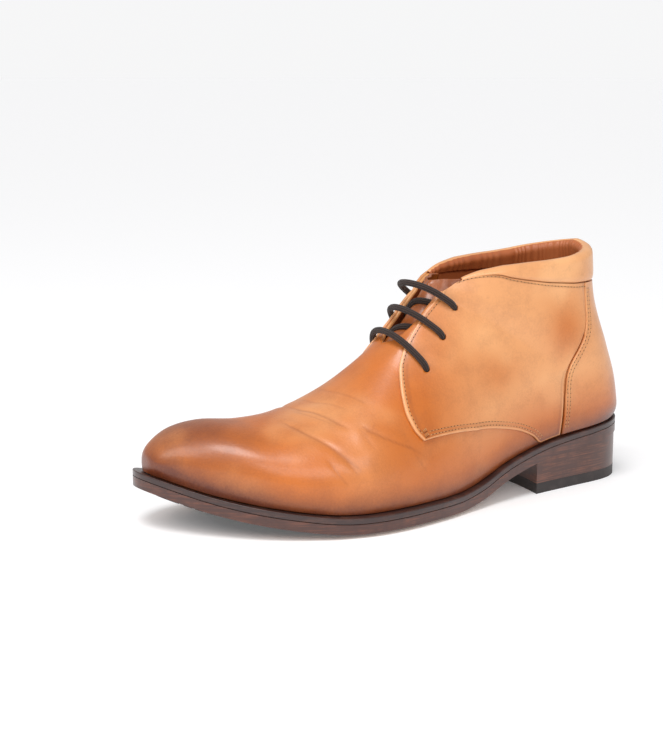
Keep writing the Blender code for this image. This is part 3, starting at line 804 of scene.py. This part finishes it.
def makeUpper():
    mesh = bmesh.new()
    lowEnd = throat["station"][0][0]
    throatTop = throat["station"][0][-1]
    front = upperLook["frontShare"]
    rows = np.linspace(0, 1, upperLook["rows"] + 1)
    columns = np.linspace(0, 1, upperLook["columns"] + 1)

    def place(side, a, b):
        part = np.clip((a - front) / (1 - front), 0, 1)
        start = readTable(throat, "across", lowEnd + (throatTop - lowEnd) * part)
        across = start + (1 - start) * b
        rim = readTable(topline, "rim", across)
        station = np.where(a <= front, a / front * lowEnd, lowEnd + (rim - lowEnd) * part)
        across = side * np.maximum(np.where(a <= front, b, across), 1e-6)
        points = skin(station, across)
        push, dark = creaseMarks(points)
        sink = 0.0022 * np.clip((station - 9.2) / 0.9, 0, 1) ** 1.5 * np.clip(1 - abs(across) / 0.15, 0, 1) ** 0.7
        points = points + outward(station, across) * (push + softWaves(points) - sink)[:, None]
        burnish, pale = hideMarks(points, station, across)
        return points, {"burnish": burnish, "pale": pale, "crease": dark * upperLook["creaseShadeStrength"]}

    for side in (1, -1):
        addGrid(mesh, rows, columns, lambda a, b, s=side: place(s, a, b), flip=side > 0)
    piece = finishPiece("upperLeather", mesh, [tanLeather, liningLeather, cutEdge], ["upper"], closed=False)
    addWall(piece, last["wall"], outside=False, inner=1, rim=2)
    return piece


def edgePoint(rows, part):
    return np.stack([readTable(rows, "station", part), readTable(rows, "across", part)], -1)


def underBand(across):
    return np.stack([readTable(topline, "band", across), across], -1)


def blendPanel(front, back, low, top, a, b):
    a1 = a[..., None]
    b1 = b[..., None]
    zero = np.zeros_like(a)
    flat = (front(zero) * (1 - a1) + back(zero) * a1) * (1 - b1) + (front(zero + 1) * (1 - a1) + back(zero + 1) * a1) * b1
    return front(b) * (1 - a1) + back(b) * a1 + low(a) * (1 - b1) + top(a) * b1 - flat


def quarterPlace(side, a, b):
    counterSeam = counterSeams[side]
    first = frontEdge["across"][1][-1]
    final = counterSeam["across"][1][-1]
    return blendPanel(
        lambda part: edgePoint(frontEdge, part),
        lambda part: edgePoint(counterSeam, part),
        lambda part: edgePoint(lowerSeam, part),
        lambda part: underBand(first + (final - first) * part),
        a,
        b,
    )


def counterPlace(side, a, b):
    counterSeam = counterSeams[side]
    first = np.array([11.85, overlayLow])
    heel = np.array([heelStation + 0.13, 1.0])
    top = underBand(np.array([1.0]))[0]
    across = counterSeam["across"][1][-1]
    return blendPanel(
        lambda part: edgePoint(counterSeam, part),
        lambda part: heel + (top - heel) * part[..., None],
        lambda part: np.stack([first[0] + (heel[0] - first[0]) * part, first[1] + (heel[1] - first[1]) * part**7], -1),
        lambda part: underBand(across + (1 - across) * part),
        a,
        b,
    )


overlayLook = {
    "quarter": 0.0012,
    "counter": 0.0016,
    "roundEdge": 0.0006,
    "quarterRows": 110,
    "quarterColumns": 100,
    "counterRows": 70,
    "counterColumns": 80,
}


def edgeRounding(distance, thickness):  # the top of an overlay comes down in a round at its cut edge
    part = np.clip(distance / overlayLook["roundEdge"], 0, 1)
    return thickness * (0.45 + 0.55 * np.sqrt(np.maximum(1 - (1 - part) ** 2, 0)))


def makeQuarter(name, side, node):
    mesh = bmesh.new()
    rows = spaced(overlayLook["quarterRows"], 0.085)
    columns = spaced(overlayLook["quarterColumns"], 0.095)

    def place(a, b, level):
        spot = quarterPlace(side, a, b)
        station, across = spot[:, 0], side * spot[:, 1]
        away = np.minimum(np.minimum(a, 1 - a) * 0.085, b * 0.095)
        top = last["overlayGap"] + edgeRounding(away, overlayLook["quarter"])
        base = skin(station, across)
        lift = np.where(level > 0.5, top + softWaves(base), 0.00008)
        points = base + outward(station, across) * lift[:, None]
        burnish, pale = hideMarks(points, station, across)
        edge = np.clip((0.0011 - away) / 0.0005, 0, 1)
        # painted shade of a stitch dent: a darker line 1.9 mm in from the cut edge; the surface there is not dented
        dentShade = bump(away - 0.0019, 0.0006)
        marks = {"burnish": np.clip(burnish * (1 - 0.7 * edge) + 0.22 * dentShade, 0, 1), "pale": np.maximum(pale, 0.75 * edge)}
        return points, {**marks, "crease": 0 * a}

    addSlab(mesh, rows, columns, place)
    return finishPiece(name, mesh, [tanLeather], [node])


def makeCounter():
    mesh = bmesh.new()
    rows = spaced(overlayLook["counterRows"], 0.060, high=False)
    columns = spaced(overlayLook["counterColumns"], 0.095)

    def place(side, a, b, level):
        start = 0.014
        spot = counterPlace(side, start + (1 - start) * a, b)
        station, across = spot[:, 0], side * spot[:, 1]
        away = np.minimum(a * 0.060, b * 0.095)
        top = last["overlayGap"] + edgeRounding(away, overlayLook["counter"])
        lift = np.where(level > 0.5, top, 0.00008)
        points = lifted(station, across, lift)
        burnish, pale = hideMarks(points, station, across)
        return points, {"burnish": burnish, "pale": pale, "crease": 0 * a}

    for side in (1, -1):
        addSlab(mesh, rows, columns, lambda a, b, level, s=side: place(s, a, b, level))
    dropSharedWall(mesh, 1)
    return finishPiece("counterLeather", mesh, [tanLeather], ["counter"])


def dropSharedWall(mesh, count):  # where two halves meet on the back line, the walls between them go
    bmesh.ops.remove_doubles(mesh, verts=mesh.verts, dist=0.00001)
    doubled = [face for face in mesh.faces if all(len(edge.link_faces) > 2 for edge in face.edges)]
    bmesh.ops.delete(mesh, geom=doubled, context="FACES_ONLY")


bandLook = {"thickness": 0.0024, "rows": 150, "inside": 0.35}


def makeCollarBand():
    mesh = bmesh.new()
    rows = np.linspace(0, 1, bandLook["rows"] + 1)
    columns = np.linspace(0, 1, 29)
    wall = last["wall"]

    def place(side, a, b, level):
        across = bandFront + (1 - bandFront) * a
        rim = readTable(topline, "rim", across)
        low = np.minimum(readTable(topline, "band", across) + 0.022, rim - 0.05)
        outer = np.clip(b / 0.55, 0, 1)
        turn = np.clip((b - 0.55) / 0.25, 0, 1) * math.pi
        inner = np.clip((b - 0.80) / 0.20, 0, 1)
        swell = np.sqrt(np.maximum(1 - (1 - np.clip(outer / 0.35, 0, 1)) ** 2, 0))
        ends = 0.12 + 0.88 * np.clip((across - bandFront) / 0.16, 0, 1)
        thick = (0.0009 + (bandLook["thickness"] - 0.0009) * swell) * ends * np.where(inner > 0, 1 - 0.6 * inner, 1)
        station = low + (rim - low) * outer - inner * bandLook["inside"]
        base = skin(station, side * across)
        out = outward(station, side * across)
        up = skin(station + 0.02, side * across) - skin(station - 0.02, side * across)
        up = np.where((station > collarStation - 0.03)[:, None], base - skin(station - 0.04, side * across), up)
        up = up / np.linalg.norm(up, axis=1, keepdims=True)
        middle = -wall / 2
        reach = np.where(level > 0.5, wall / 2 + last["overlayGap"] + thick, wall / 2 + 0.0001)
        points = base + out * (middle + reach * np.cos(turn))[:, None] + up * (reach * np.sin(turn))[:, None]
        burnish, pale = hideMarks(points, station, across)
        inside = np.clip((b - 0.68) / 0.04, 0, 1)
        fold = 0.00035 * np.sin(across * 210 + 2 * np.sin(across * 47)) * inside * level
        points = points - out * fold[:, None]
        return points, {"burnish": 0 * a, "pale": 0.75 + 0 * a, "crease": 0 * a, "inside": inside}

    for side in (1, -1):
        addSlab(mesh, rows, columns, lambda a, b, level, s=side: place(s, a, b, level))
    dropSharedWall(mesh, 1)
    piece = finishPiece("collarBand", mesh, [tanLeather, liningLeather], ["collar_band"])
    inside = piece.data.attributes["inside"].data
    for face in piece.data.polygons:
        face.material_index = int(all(inside[i].value > 0.5 for i in face.vertices))
    return piece


tongueLook = {"low": 8.6, "top": 17.4, "thickness": 0.0016, "depth": 0.0054}


def makeTongue():
    mesh = bmesh.new()
    rows = np.linspace(0, 1, 131)
    columns = np.linspace(0, 1, 61)

    def place(a, b, level):
        station = tongueLook["low"] + (tongueLook["top"] - tongueLook["low"]) * a
        across = (2 * b - 1) * (0.20 + 0.06 * a)
        across = np.where(abs(across) < 1e-6, 1e-6, across)
        sink = 0.0023 + (tongueLook["depth"] - 0.0023) * np.clip((station - 9.4) / 1.4, 0, 1)
        points = skin(station, across)
        x, y, z = (points * 1000).T
        crumple = np.clip((station - 14.5) / 2, 0, 1) * (np.sin(y / 2.1 + x / 5) + 0.7 * np.sin(x / 2.6 - y / 3.3 + 1)) * 0.0006
        lift = -sink + crumple - np.where(level > 0.5, 0, tongueLook["thickness"])
        points = points + outward(station, across) * lift[:, None]
        # a light burnish, and darker from station 9.6 on into the throat: painted shade under the laces
        burnish = np.clip(0.10 + 0.50 * np.clip((station - 9.6) / 1.0, 0, 1), 0, 1)
        return points, {"burnish": burnish, "pale": 0 * a, "crease": 0 * a}

    addSlab(mesh, rows, columns, place)
    return finishPiece("tongueLeather", mesh, [tanLeather], ["tongue"])


# ---- eyelet holes, cut through quarters and wall

eyeletLook = {"radius": 0.0019, "sides": 20, "depth": 0.012}


def makePunches(name, side):
    mesh = bmesh.new()
    for station, across in eyelets:
        spot = Vector(skin(np.array([station]), np.array([side * across]))[0])
        way = Vector(outward(np.array([station]), np.array([side * across]))[0])
        turned = way.to_track_quat("Z", "Y").to_matrix().to_4x4()
        bmesh.ops.create_cone(
            mesh,
            cap_ends=True,
            segments=eyeletLook["sides"],
            radius1=eyeletLook["radius"],
            radius2=eyeletLook["radius"],
            depth=eyeletLook["depth"],
            matrix=Matrix.Translation(spot) @ turned,
        )
    data = bpy.data.meshes.new(name)
    mesh.to_mesh(data)
    mesh.free()
    made = bpy.data.objects.new(name, data)
    made.display_type = "WIRE"
    made.hide_render = True
    made.hide_viewport = True
    bpy.context.scene.collection.objects.link(made)
    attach(made, "root")
    return made


def punch(piece, cutter):
    hole = piece.modifiers.new(cutter.name, "BOOLEAN")
    hole.operation = "DIFFERENCE"
    hole.solver = "EXACT"
    hole.object = cutter


upper = makeUpper()
print("upper ready")
counter = makeCounter()
band = makeCollarBand()
tongue = makeTongue()
for side, word in ((1, "Lateral"), (-1, "Medial")):
    quarter = makeQuarter("quarter" + word, side, "quarter_" + word.lower())
    punches = makePunches("punches" + word, side)
    punch(quarter, punches)
    punch(upper, punches)
print("panels ready")

# ---- sole: insole, welt, outsole, tread, heel

soleLook = {"rows": 220, "treadRows": 330, "treadColumns": 110, "waves": 19, "waveLength": 0.031, "waveSway": 0.0042}


def cosRows(count):
    return np.linspace(0, 1, count + 1)


def makeInsole():
    mesh = bmesh.new()

    def place(a, b, level):
        turn = math.pi * a
        inset = shelfAt((1 - np.cos(turn)) / 2) + 2 * last["wall"]
        spot = soleEdge(turn, 1, inset) * (1 - b[:, None]) + soleEdge(turn, -1, inset) * b[:, None]
        top = weltTop(spot[:, 0]) + last["gap"] + 0.0006
        height = np.where(level > 0.5, top, soleTop(spot[:, 0]) + last["gap"])
        return np.stack([spot[:, 0], spot[:, 1], height], -1), {}

    addSlab(mesh, cosRows(80), np.linspace(0, 1, 25), place)
    return finishPiece("sockLining", mesh, [liningLeather], ["insole"], smooth=False)


def makeWelt():
    mesh = bmesh.new()

    def place(side, a, b, level):
        turn = math.pi * a
        along = (1 - np.cos(turn)) / 2
        inset = (shelfAt(along) + last["wall"]) * b
        spot = soleEdge(turn, side, inset)
        height = np.where(level > 0.5, weltTop(spot[:, 0]), soleTop(spot[:, 0]) + 0.0001)
        return np.stack([spot[:, 0], spot[:, 1], height], -1), {}

    for side in (1, -1):
        addSlab(mesh, cosRows(soleLook["rows"]), np.linspace(0, 1, 5), lambda a, b, level, s=side: place(s, a, b, level))
    dropSharedWall(mesh, 2)
    piece = finishPiece("weltStrip", mesh, [weltBrown], ["welt"], smooth=False)
    addBevel(piece, 0.0006, 3)
    return piece


def makeOutsole():
    mesh = bmesh.new()

    def place(a, b, level):
        turn = math.pi * a
        outer = soleEdge(turn, 1)
        inner = soleEdge(turn, -1)
        spot = outer * (1 - b[:, None]) + inner * b[:, None]
        wide = np.linalg.norm(outer - inner, axis=1)
        away = np.minimum(b, 1 - b) * wide
        tip = np.minimum(turn, math.pi - turn) * 0.05
        away = np.minimum(away, np.maximum(tip, 0.0))
        height = np.where(level > 0.5, soleTop(spot[:, 0]), soleBottom(spot[:, 0]))
        # the stitch channel: a shallow groove in the bottom face, also painted darker as shade in it
        channel = bump(away - 0.0068, 0.0006) * (level < 0.5) * (a > 0.50)
        height = height + channel * 0.0007
        worn = np.clip(1 - away / 0.004, 0, 1) * (level < 0.5)
        return np.stack([spot[:, 0], spot[:, 1], height], -1), {"channel": channel, "worn": worn}

    addSlab(mesh, cosRows(soleLook["rows"]), spaced(90, 0.09), place)
    piece = finishPiece("leatherSole", mesh, [soleBrown, soleLeather], ["outsole"], smooth=False)
    for face in piece.data.polygons:
        face.material_index = 1 if face.normal.z < -0.6 else 0
    addBevel(piece, 0.0007, 3)
    return piece


def treadGroove(x, y):  # wavy grooves across the forefoot, and fine hatching on the ribs between them
    pitch = 0.0078
    sway = soleLook["waveSway"] * np.sin(2 * math.pi * y / soleLook["waveLength"] + 0.6)
    phase = ((x + sway) / pitch) % 1
    groove = np.clip((0.16 - abs(phase - 0.5)) / 0.05, 0, 1)
    hatch = (abs(phase - 0.12) < 0.10) * np.clip(0.5 + 1.2 * np.sin(2 * math.pi * y / 0.0011), 0, 1)
    return groove, hatch


def makeTread():
    mesh = bmesh.new()
    start = float(turnAt(0.49))

    def place(a, b, level):
        turn = start + (math.pi - start) * a
        spot = soleEdge(turn, 1, 0.011 + 0 * turn) * (1 - b[:, None]) + soleEdge(turn, -1, 0.011 + 0 * turn) * b[:, None]
        top = soleBottom(spot[:, 0]) - 0.00005
        groove, hatch = treadGroove(spot[:, 0], spot[:, 1])
        bottom = top - last["padThickness"] - 0.0002 + 0.0013 * groove
        return np.stack([spot[:, 0], spot[:, 1], np.where(level > 0.5, top, bottom)], -1), {"hatch": hatch}

    addSlab(mesh, np.linspace(0, 1, soleLook["treadRows"] + 1), np.linspace(0, 1, soleLook["treadColumns"] + 1), place)
    return finishPiece("rubberTread", mesh, [treadRubber], ["forefoot_pad"], smooth=False)


def makeHeelLayer(name, bottom, top, surface, node, layers=1):
    mesh = bmesh.new()
    front = float(turnAt(0.0765 / last["soleLength"]))

    def place(a, b, level):
        turn = front * a
        inset = 0.0006 + 0 * turn
        spot = soleEdge(turn, 1, inset) * (1 - b[:, None]) + soleEdge(turn, -1, inset) * b[:, None]
        x = spot[:, 0] - 0.003 * np.sin(math.pi * b) * a**4
        height = np.where(level > 0.5, top(x), bottom(x))
        return np.stack([x, spot[:, 1], height], -1), {}

    addSlab(mesh, np.linspace(0, 1, 61), np.linspace(0, 1, 25), place)
    piece = finishPiece(name, mesh, [surface], [node], smooth=False)
    addBevel(piece, 0.0004, 2)
    return piece


makeInsole()
makeWelt()
makeOutsole()
makeTread()
liftTop = 0.006
makeHeelLayer("heelStack", lambda x: 0 * x + liftTop + 0.00005, lambda x: soleBottom(x) - 0.00005, heelBrown, "heel_stack")
makeHeelLayer("heelLift", lambda x: 0 * x, lambda x: 0 * x + liftTop, liftRubber, "heel_lift")
print("sole ready")

# ---- stitches

stitchLook = {"pitch": 0.0023, "length": 0.0016, "width": 0.00042, "hole": 0.00034}


def alongLine(points, pitch):  # evenly spaced places on a line of points, with the direction at each
    steps = np.linalg.norm(np.diff(points, axis=0), axis=1)
    gone = np.concatenate([[0], np.cumsum(steps)])
    count = max(int(gone[-1] / pitch), 1)
    at = (np.arange(count) + 0.5) * gone[-1] / count
    spots = np.stack([np.interp(at, gone, points[:, k]) for k in range(3)], -1)
    ahead = np.stack([np.interp(at + pitch / 3, gone, points[:, k]) for k in range(3)], -1)
    behind = np.stack([np.interp(at - pitch / 3, gone, points[:, k]) for k in range(3)], -1)
    way = ahead - behind
    return spots, way / np.linalg.norm(way, axis=1, keepdims=True)


def addBead(mesh, spot, way, up, length, width, height):
    side = Vector(up).cross(Vector(way)).normalized()
    up = Vector(way).cross(side).normalized()
    turn = Matrix((way, side, up)).transposed().to_4x4()
    size = Matrix.Diagonal((length / 2, width / 2, height / 2, 1))
    bmesh.ops.create_uvsphere(mesh, u_segments=7, v_segments=4, radius=1, matrix=Matrix.Translation(spot) @ turn @ size @ Matrix.Rotation(math.pi / 2, 4, "Y"))


def makeStitches(name, lines, holeShadeName):
    thread = bmesh.new()
    holeShades = bmesh.new()
    for station, across, lift in lines:
        points = lifted(station, across, lift)
        normals = outward(station, across)
        spots, ways = alongLine(points, stitchLook["pitch"])
        for spot, way in zip(spots, ways):
            near = int(np.argmin(np.linalg.norm(points - spot, axis=1)))
            up = normals[near]
            addBead(thread, Vector(spot), Vector(way), Vector(up), stitchLook["length"], stitchLook["width"], 0.00040)
            # beside each stitch a dark bead, painted as the shade of its needle hole
            hole = Vector(spot) + Vector(way) * stitchLook["pitch"] / 2
            addBead(holeShades, hole, Vector(way), Vector(up), 0.00075, 0.00055, 0.00016)
    finishPiece(name, thread, [tanThread], [])
    finishPiece(holeShadeName, holeShades, [needleHoleShade], [])


def stitchLines(side):
    fine = np.linspace(0, 1, 140)
    topLift = last["overlayGap"] + overlayLook["quarter"] + 0.00005
    counterLift = last["overlayGap"] + overlayLook["counter"] + 0.00005
    rows = (
        (frontEdge, 0.04, 0.97, (0.0021,), (12.0, 0.40), topLift),
        (lowerSeam, 0.05, 0.84, (0.0019, 0.0038), (11.5, 0.50), topLift),
        (counterSeams[side], 0.05, 0.975, (0.0024, 0.0044), (13.9, 0.85), counterLift),
    )
    lines = []
    for seam, first, final, distances, towards, lift in rows:
        spot = edgePoint(seam, first + (final - first) * fine)
        for distance in distances:
            place = (towards[0], side * towards[1])
            station, across = besideLine(spot[:, 0], side * spot[:, 1], distance, place)
            lines.append((station, across, lift + 0 * fine))
    across = 0.22 + 0.78 * fine
    lines.append((readTable(topline, "band", across) - 0.085, side * across, topLift + 0.00015 + 0 * fine))
    corner = np.linspace(0, 1, 12)
    for step in (0.0, 0.05, 0.10):
        lines.append((9.02 + step + 0 * corner, side * (0.498 + 0.040 * corner), topLift + 0.0002 + 0 * corner))
    return lines


makeStitches("seamThread", [*stitchLines(1), *stitchLines(-1)], "needleHoleShades")
soleStitchLook = {"pitch": 0.0052, "length": 0.0038, "width": 0.0011, "inset": 0.0068, "start": 0.44}


def makeSoleStitches():  # the seam that holds the welt, seen in its channel underneath
    mesh = bmesh.new()
    turn = np.linspace(float(turnAt(soleStitchLook["start"])), math.pi - 0.02, 200)
    for side in (1, -1):
        spot = soleEdge(turn, side, soleStitchLook["inset"] + 0 * turn)
        points = np.column_stack([spot, soleBottom(spot[:, 0]) + 0.0001])
        for place, way in zip(*alongLine(points, soleStitchLook["pitch"])):
            addBead(mesh, Vector(place), Vector(way), Vector((0, 0, -1)), soleStitchLook["length"], soleStitchLook["width"], 0.0009)
    finishPiece("soleStitches", mesh, [soleThread], [])


makeSoleStitches()
print("stitches ready")

# ---- lace

laceLook = {"radius": 0.0018, "lift": 0.0036}


def laceBar(station, reach, arch):  # from over the outer eyelet to over the inner one
    shares = ((1.0, 1.0), (0.86, 1.0), (0.66, 1.0), (0.45, 0.97), (0.22, 0.85), (0.0, 0.80))
    right = [(reach * part, laceLook["lift"] * share + arch * (1 - part**2)) for part, share in shares]
    ways = [*right[:-1], (1e-6, right[-1][1]), *[(-across, lift) for across, lift in reversed(right[:-1])]]
    return [lifted(np.array([station]), np.array([across]), np.array([lift]))[0] for across, lift in ways]


def laceInside(start, end, side, endSide):  # a strand under the wall, between two eyelets
    parts = np.linspace(0.06, 0.94, 7)
    first = eyelets[start]
    second = eyelets[end]
    station = first[0] + (second[0] - first[0]) * parts
    across = side * first[1] + (endSide * second[1] - side * first[1]) * parts
    lift = -last["wall"] - laceLook["radius"] - 0.0002 - 0.0004 * np.sin(math.pi * parts)
    return list(lifted(station, across, lift))


def throughEyelet(number, side, outwards):
    station, across = eyelets[number]
    lifts = (-0.0032, -0.0010, 0.0012) if outwards else (0.0012, -0.0010, -0.0032)
    return [lifted(np.array([station]), np.array([side * across]), np.array([lift]))[0] for lift in lifts]


def makeLace():
    points = []
    points += laceInside(2, 0, 1, 1)[1:]
    points += throughEyelet(0, 1, True)
    points += laceBar(eyelets[0][0], eyelets[0][1] * 0.94, 0.0)[0:]
    points += throughEyelet(0, -1, False)
    points += laceInside(0, 1, -1, 1)
    points += throughEyelet(1, 1, True)
    points += laceBar(eyelets[1][0], eyelets[1][1] * 0.94, 0.0006)
    points += throughEyelet(1, -1, False)
    points += laceInside(1, 2, -1, 1)
    points += throughEyelet(2, 1, True)
    points += laceBar(eyelets[2][0], eyelets[2][1] * 0.94, 0.0040)
    points += throughEyelet(2, -1, False)
    curve = bpy.data.curves.new("lacePath", "CURVE")
    curve.dimensions = "3D"
    curve.bevel_depth = laceLook["radius"]
    curve.bevel_resolution = 4
    curve.resolution_u = 6
    curve.use_fill_caps = True
    line = curve.splines.new("NURBS")
    line.points.add(len(points) - 1)
    line.order_u = 4
    line.use_endpoint_u = True
    for point, spot in zip(line.points, points):
        point.co = (*spot, 1)
    path = bpy.data.objects.new("lacePath", curve)
    bpy.context.scene.collection.objects.link(path)
    bpy.context.view_layer.update()
    data = bpy.data.meshes.new_from_object(path.evaluated_get(bpy.context.evaluated_depsgraph_get()))
    bpy.data.objects.remove(path)
    if data.uv_layers:
        data.uv_layers[0].name = "laceUv"
    else:
        data.uv_layers.new(name="laceUv")
    data.materials.clear()
    data.materials.append(waxedCord)
    data.shade_smooth()
    piece = bpy.data.objects.new("lace", data)
    bpy.context.scene.collection.objects.link(piece)
    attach(piece, "root")
    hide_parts("lace_bar_1", "lace_bar_2", "lace_bar_3")
    return piece


makeLace()
print("lace ready")

# ---- floor, light and camera

studio = {
    "floor": (0.93, 0.93, 0.94),
    "glow": 0.10,
    "world": 0.48,
    "sun": 1.62,
    "softness": 24,
    "sidePower": 5.0,
    "toePower": 3.0,
}


def addLight(name, spot, aim, size, power, colour=(1, 1, 1)):
    lamp = bpy.data.lights.new(name, "AREA")
    lamp.shape = "RECTANGLE"
    lamp.size, lamp.size_y = size
    lamp.energy = power
    lamp.color = colour
    made = bpy.data.objects.new(name, lamp)
    made.location = spot
    made.rotation_euler = (Vector(aim) - Vector(spot)).to_track_quat("-Z", "Y").to_euler()
    bpy.context.scene.collection.objects.link(made)


def makeStudio():
    mesh = bmesh.new()
    bmesh.ops.create_grid(mesh, x_segments=2, y_segments=2, size=40)
    data = bpy.data.meshes.new("floor")
    mesh.to_mesh(data)
    mesh.free()
    made, tree, shader = startMaterial("paleFloor")
    shader.inputs["Base Color"].default_value = (*studio["floor"], 1)
    shader.inputs["Emission Color"].default_value = (1, 1, 1, 1)
    shader.inputs["Emission Strength"].default_value = studio["glow"]
    shader.inputs["Roughness"].default_value = 0.6
    data.materials.append(made)
    floor = bpy.data.objects.new("floor", data)
    bpy.context.scene.collection.objects.link(floor)
    world = bpy.data.worlds.new("studioWorld")
    bpy.context.scene.world = world
    world.use_nodes = True
    tree = world.node_tree
    light = tree.nodes["Background"]
    light.inputs["Color"].default_value = (1, 1, 1, 1)
    light.inputs["Strength"].default_value = studio["world"]
    backdrop = tree.nodes.new("ShaderNodeBackground")
    backdrop.inputs["Color"].default_value = (0.925, 0.925, 0.93, 1)
    rays = tree.nodes.new("ShaderNodeLightPath")
    choice = tree.nodes.new("ShaderNodeMixShader")
    tree.links.new(rays.outputs["Is Camera Ray"], choice.inputs[0])
    tree.links.new(light.outputs[0], choice.inputs[1])
    tree.links.new(backdrop.outputs[0], choice.inputs[2])
    tree.links.new(choice.outputs[0], tree.nodes["World Output"].inputs[0])
    middle = (0.12, 0.0, 0.06)
    sun = bpy.data.lights.new("sun", "SUN")
    sun.energy = studio["sun"]
    sun.angle = math.radians(studio["softness"])
    lamp = bpy.data.objects.new("sun", sun)
    lamp.rotation_euler = Vector((0.35, 0.30, 1.0)).to_track_quat("Z", "Y").to_euler()
    bpy.context.scene.collection.objects.link(lamp)
    addLight("side", (0.35, 1.10, 0.75), middle, (1.0, 0.5), studio["sidePower"])
    addLight("toe", (1.00, 0.10, 0.70), middle, (0.5, 0.5), studio["toePower"])
    bpy.context.scene.view_settings.view_transform = "Standard"


def makeCamera():
    view = {"azimuth": 148.617, "elevation": 12.0, "distance": 0.900, "lens": 77.51}
    aim = Vector((0.15713, 0.0, 0.07243))
    turn = math.radians(view["azimuth"])
    rise = math.radians(view["elevation"])
    back = Vector((math.sin(turn) * math.cos(rise), -math.cos(turn) * math.cos(rise), math.sin(rise)))
    lens = bpy.data.cameras.new("camera")
    lens.lens = view["lens"]
    lens.sensor_width = 36
    lens.clip_start = 0.05
    lens.clip_end = 30
    camera = bpy.data.objects.new("camera", lens)
    camera.location = Vector((0.1145, 0, 0.050)) + back * view["distance"]
    camera.rotation_euler = (aim - camera.location).to_track_quat("-Z", "Y").to_euler()
    bpy.context.scene.collection.objects.link(camera)
    bpy.context.scene.camera = camera


makeStudio()
makeCamera()
print("studio ready")
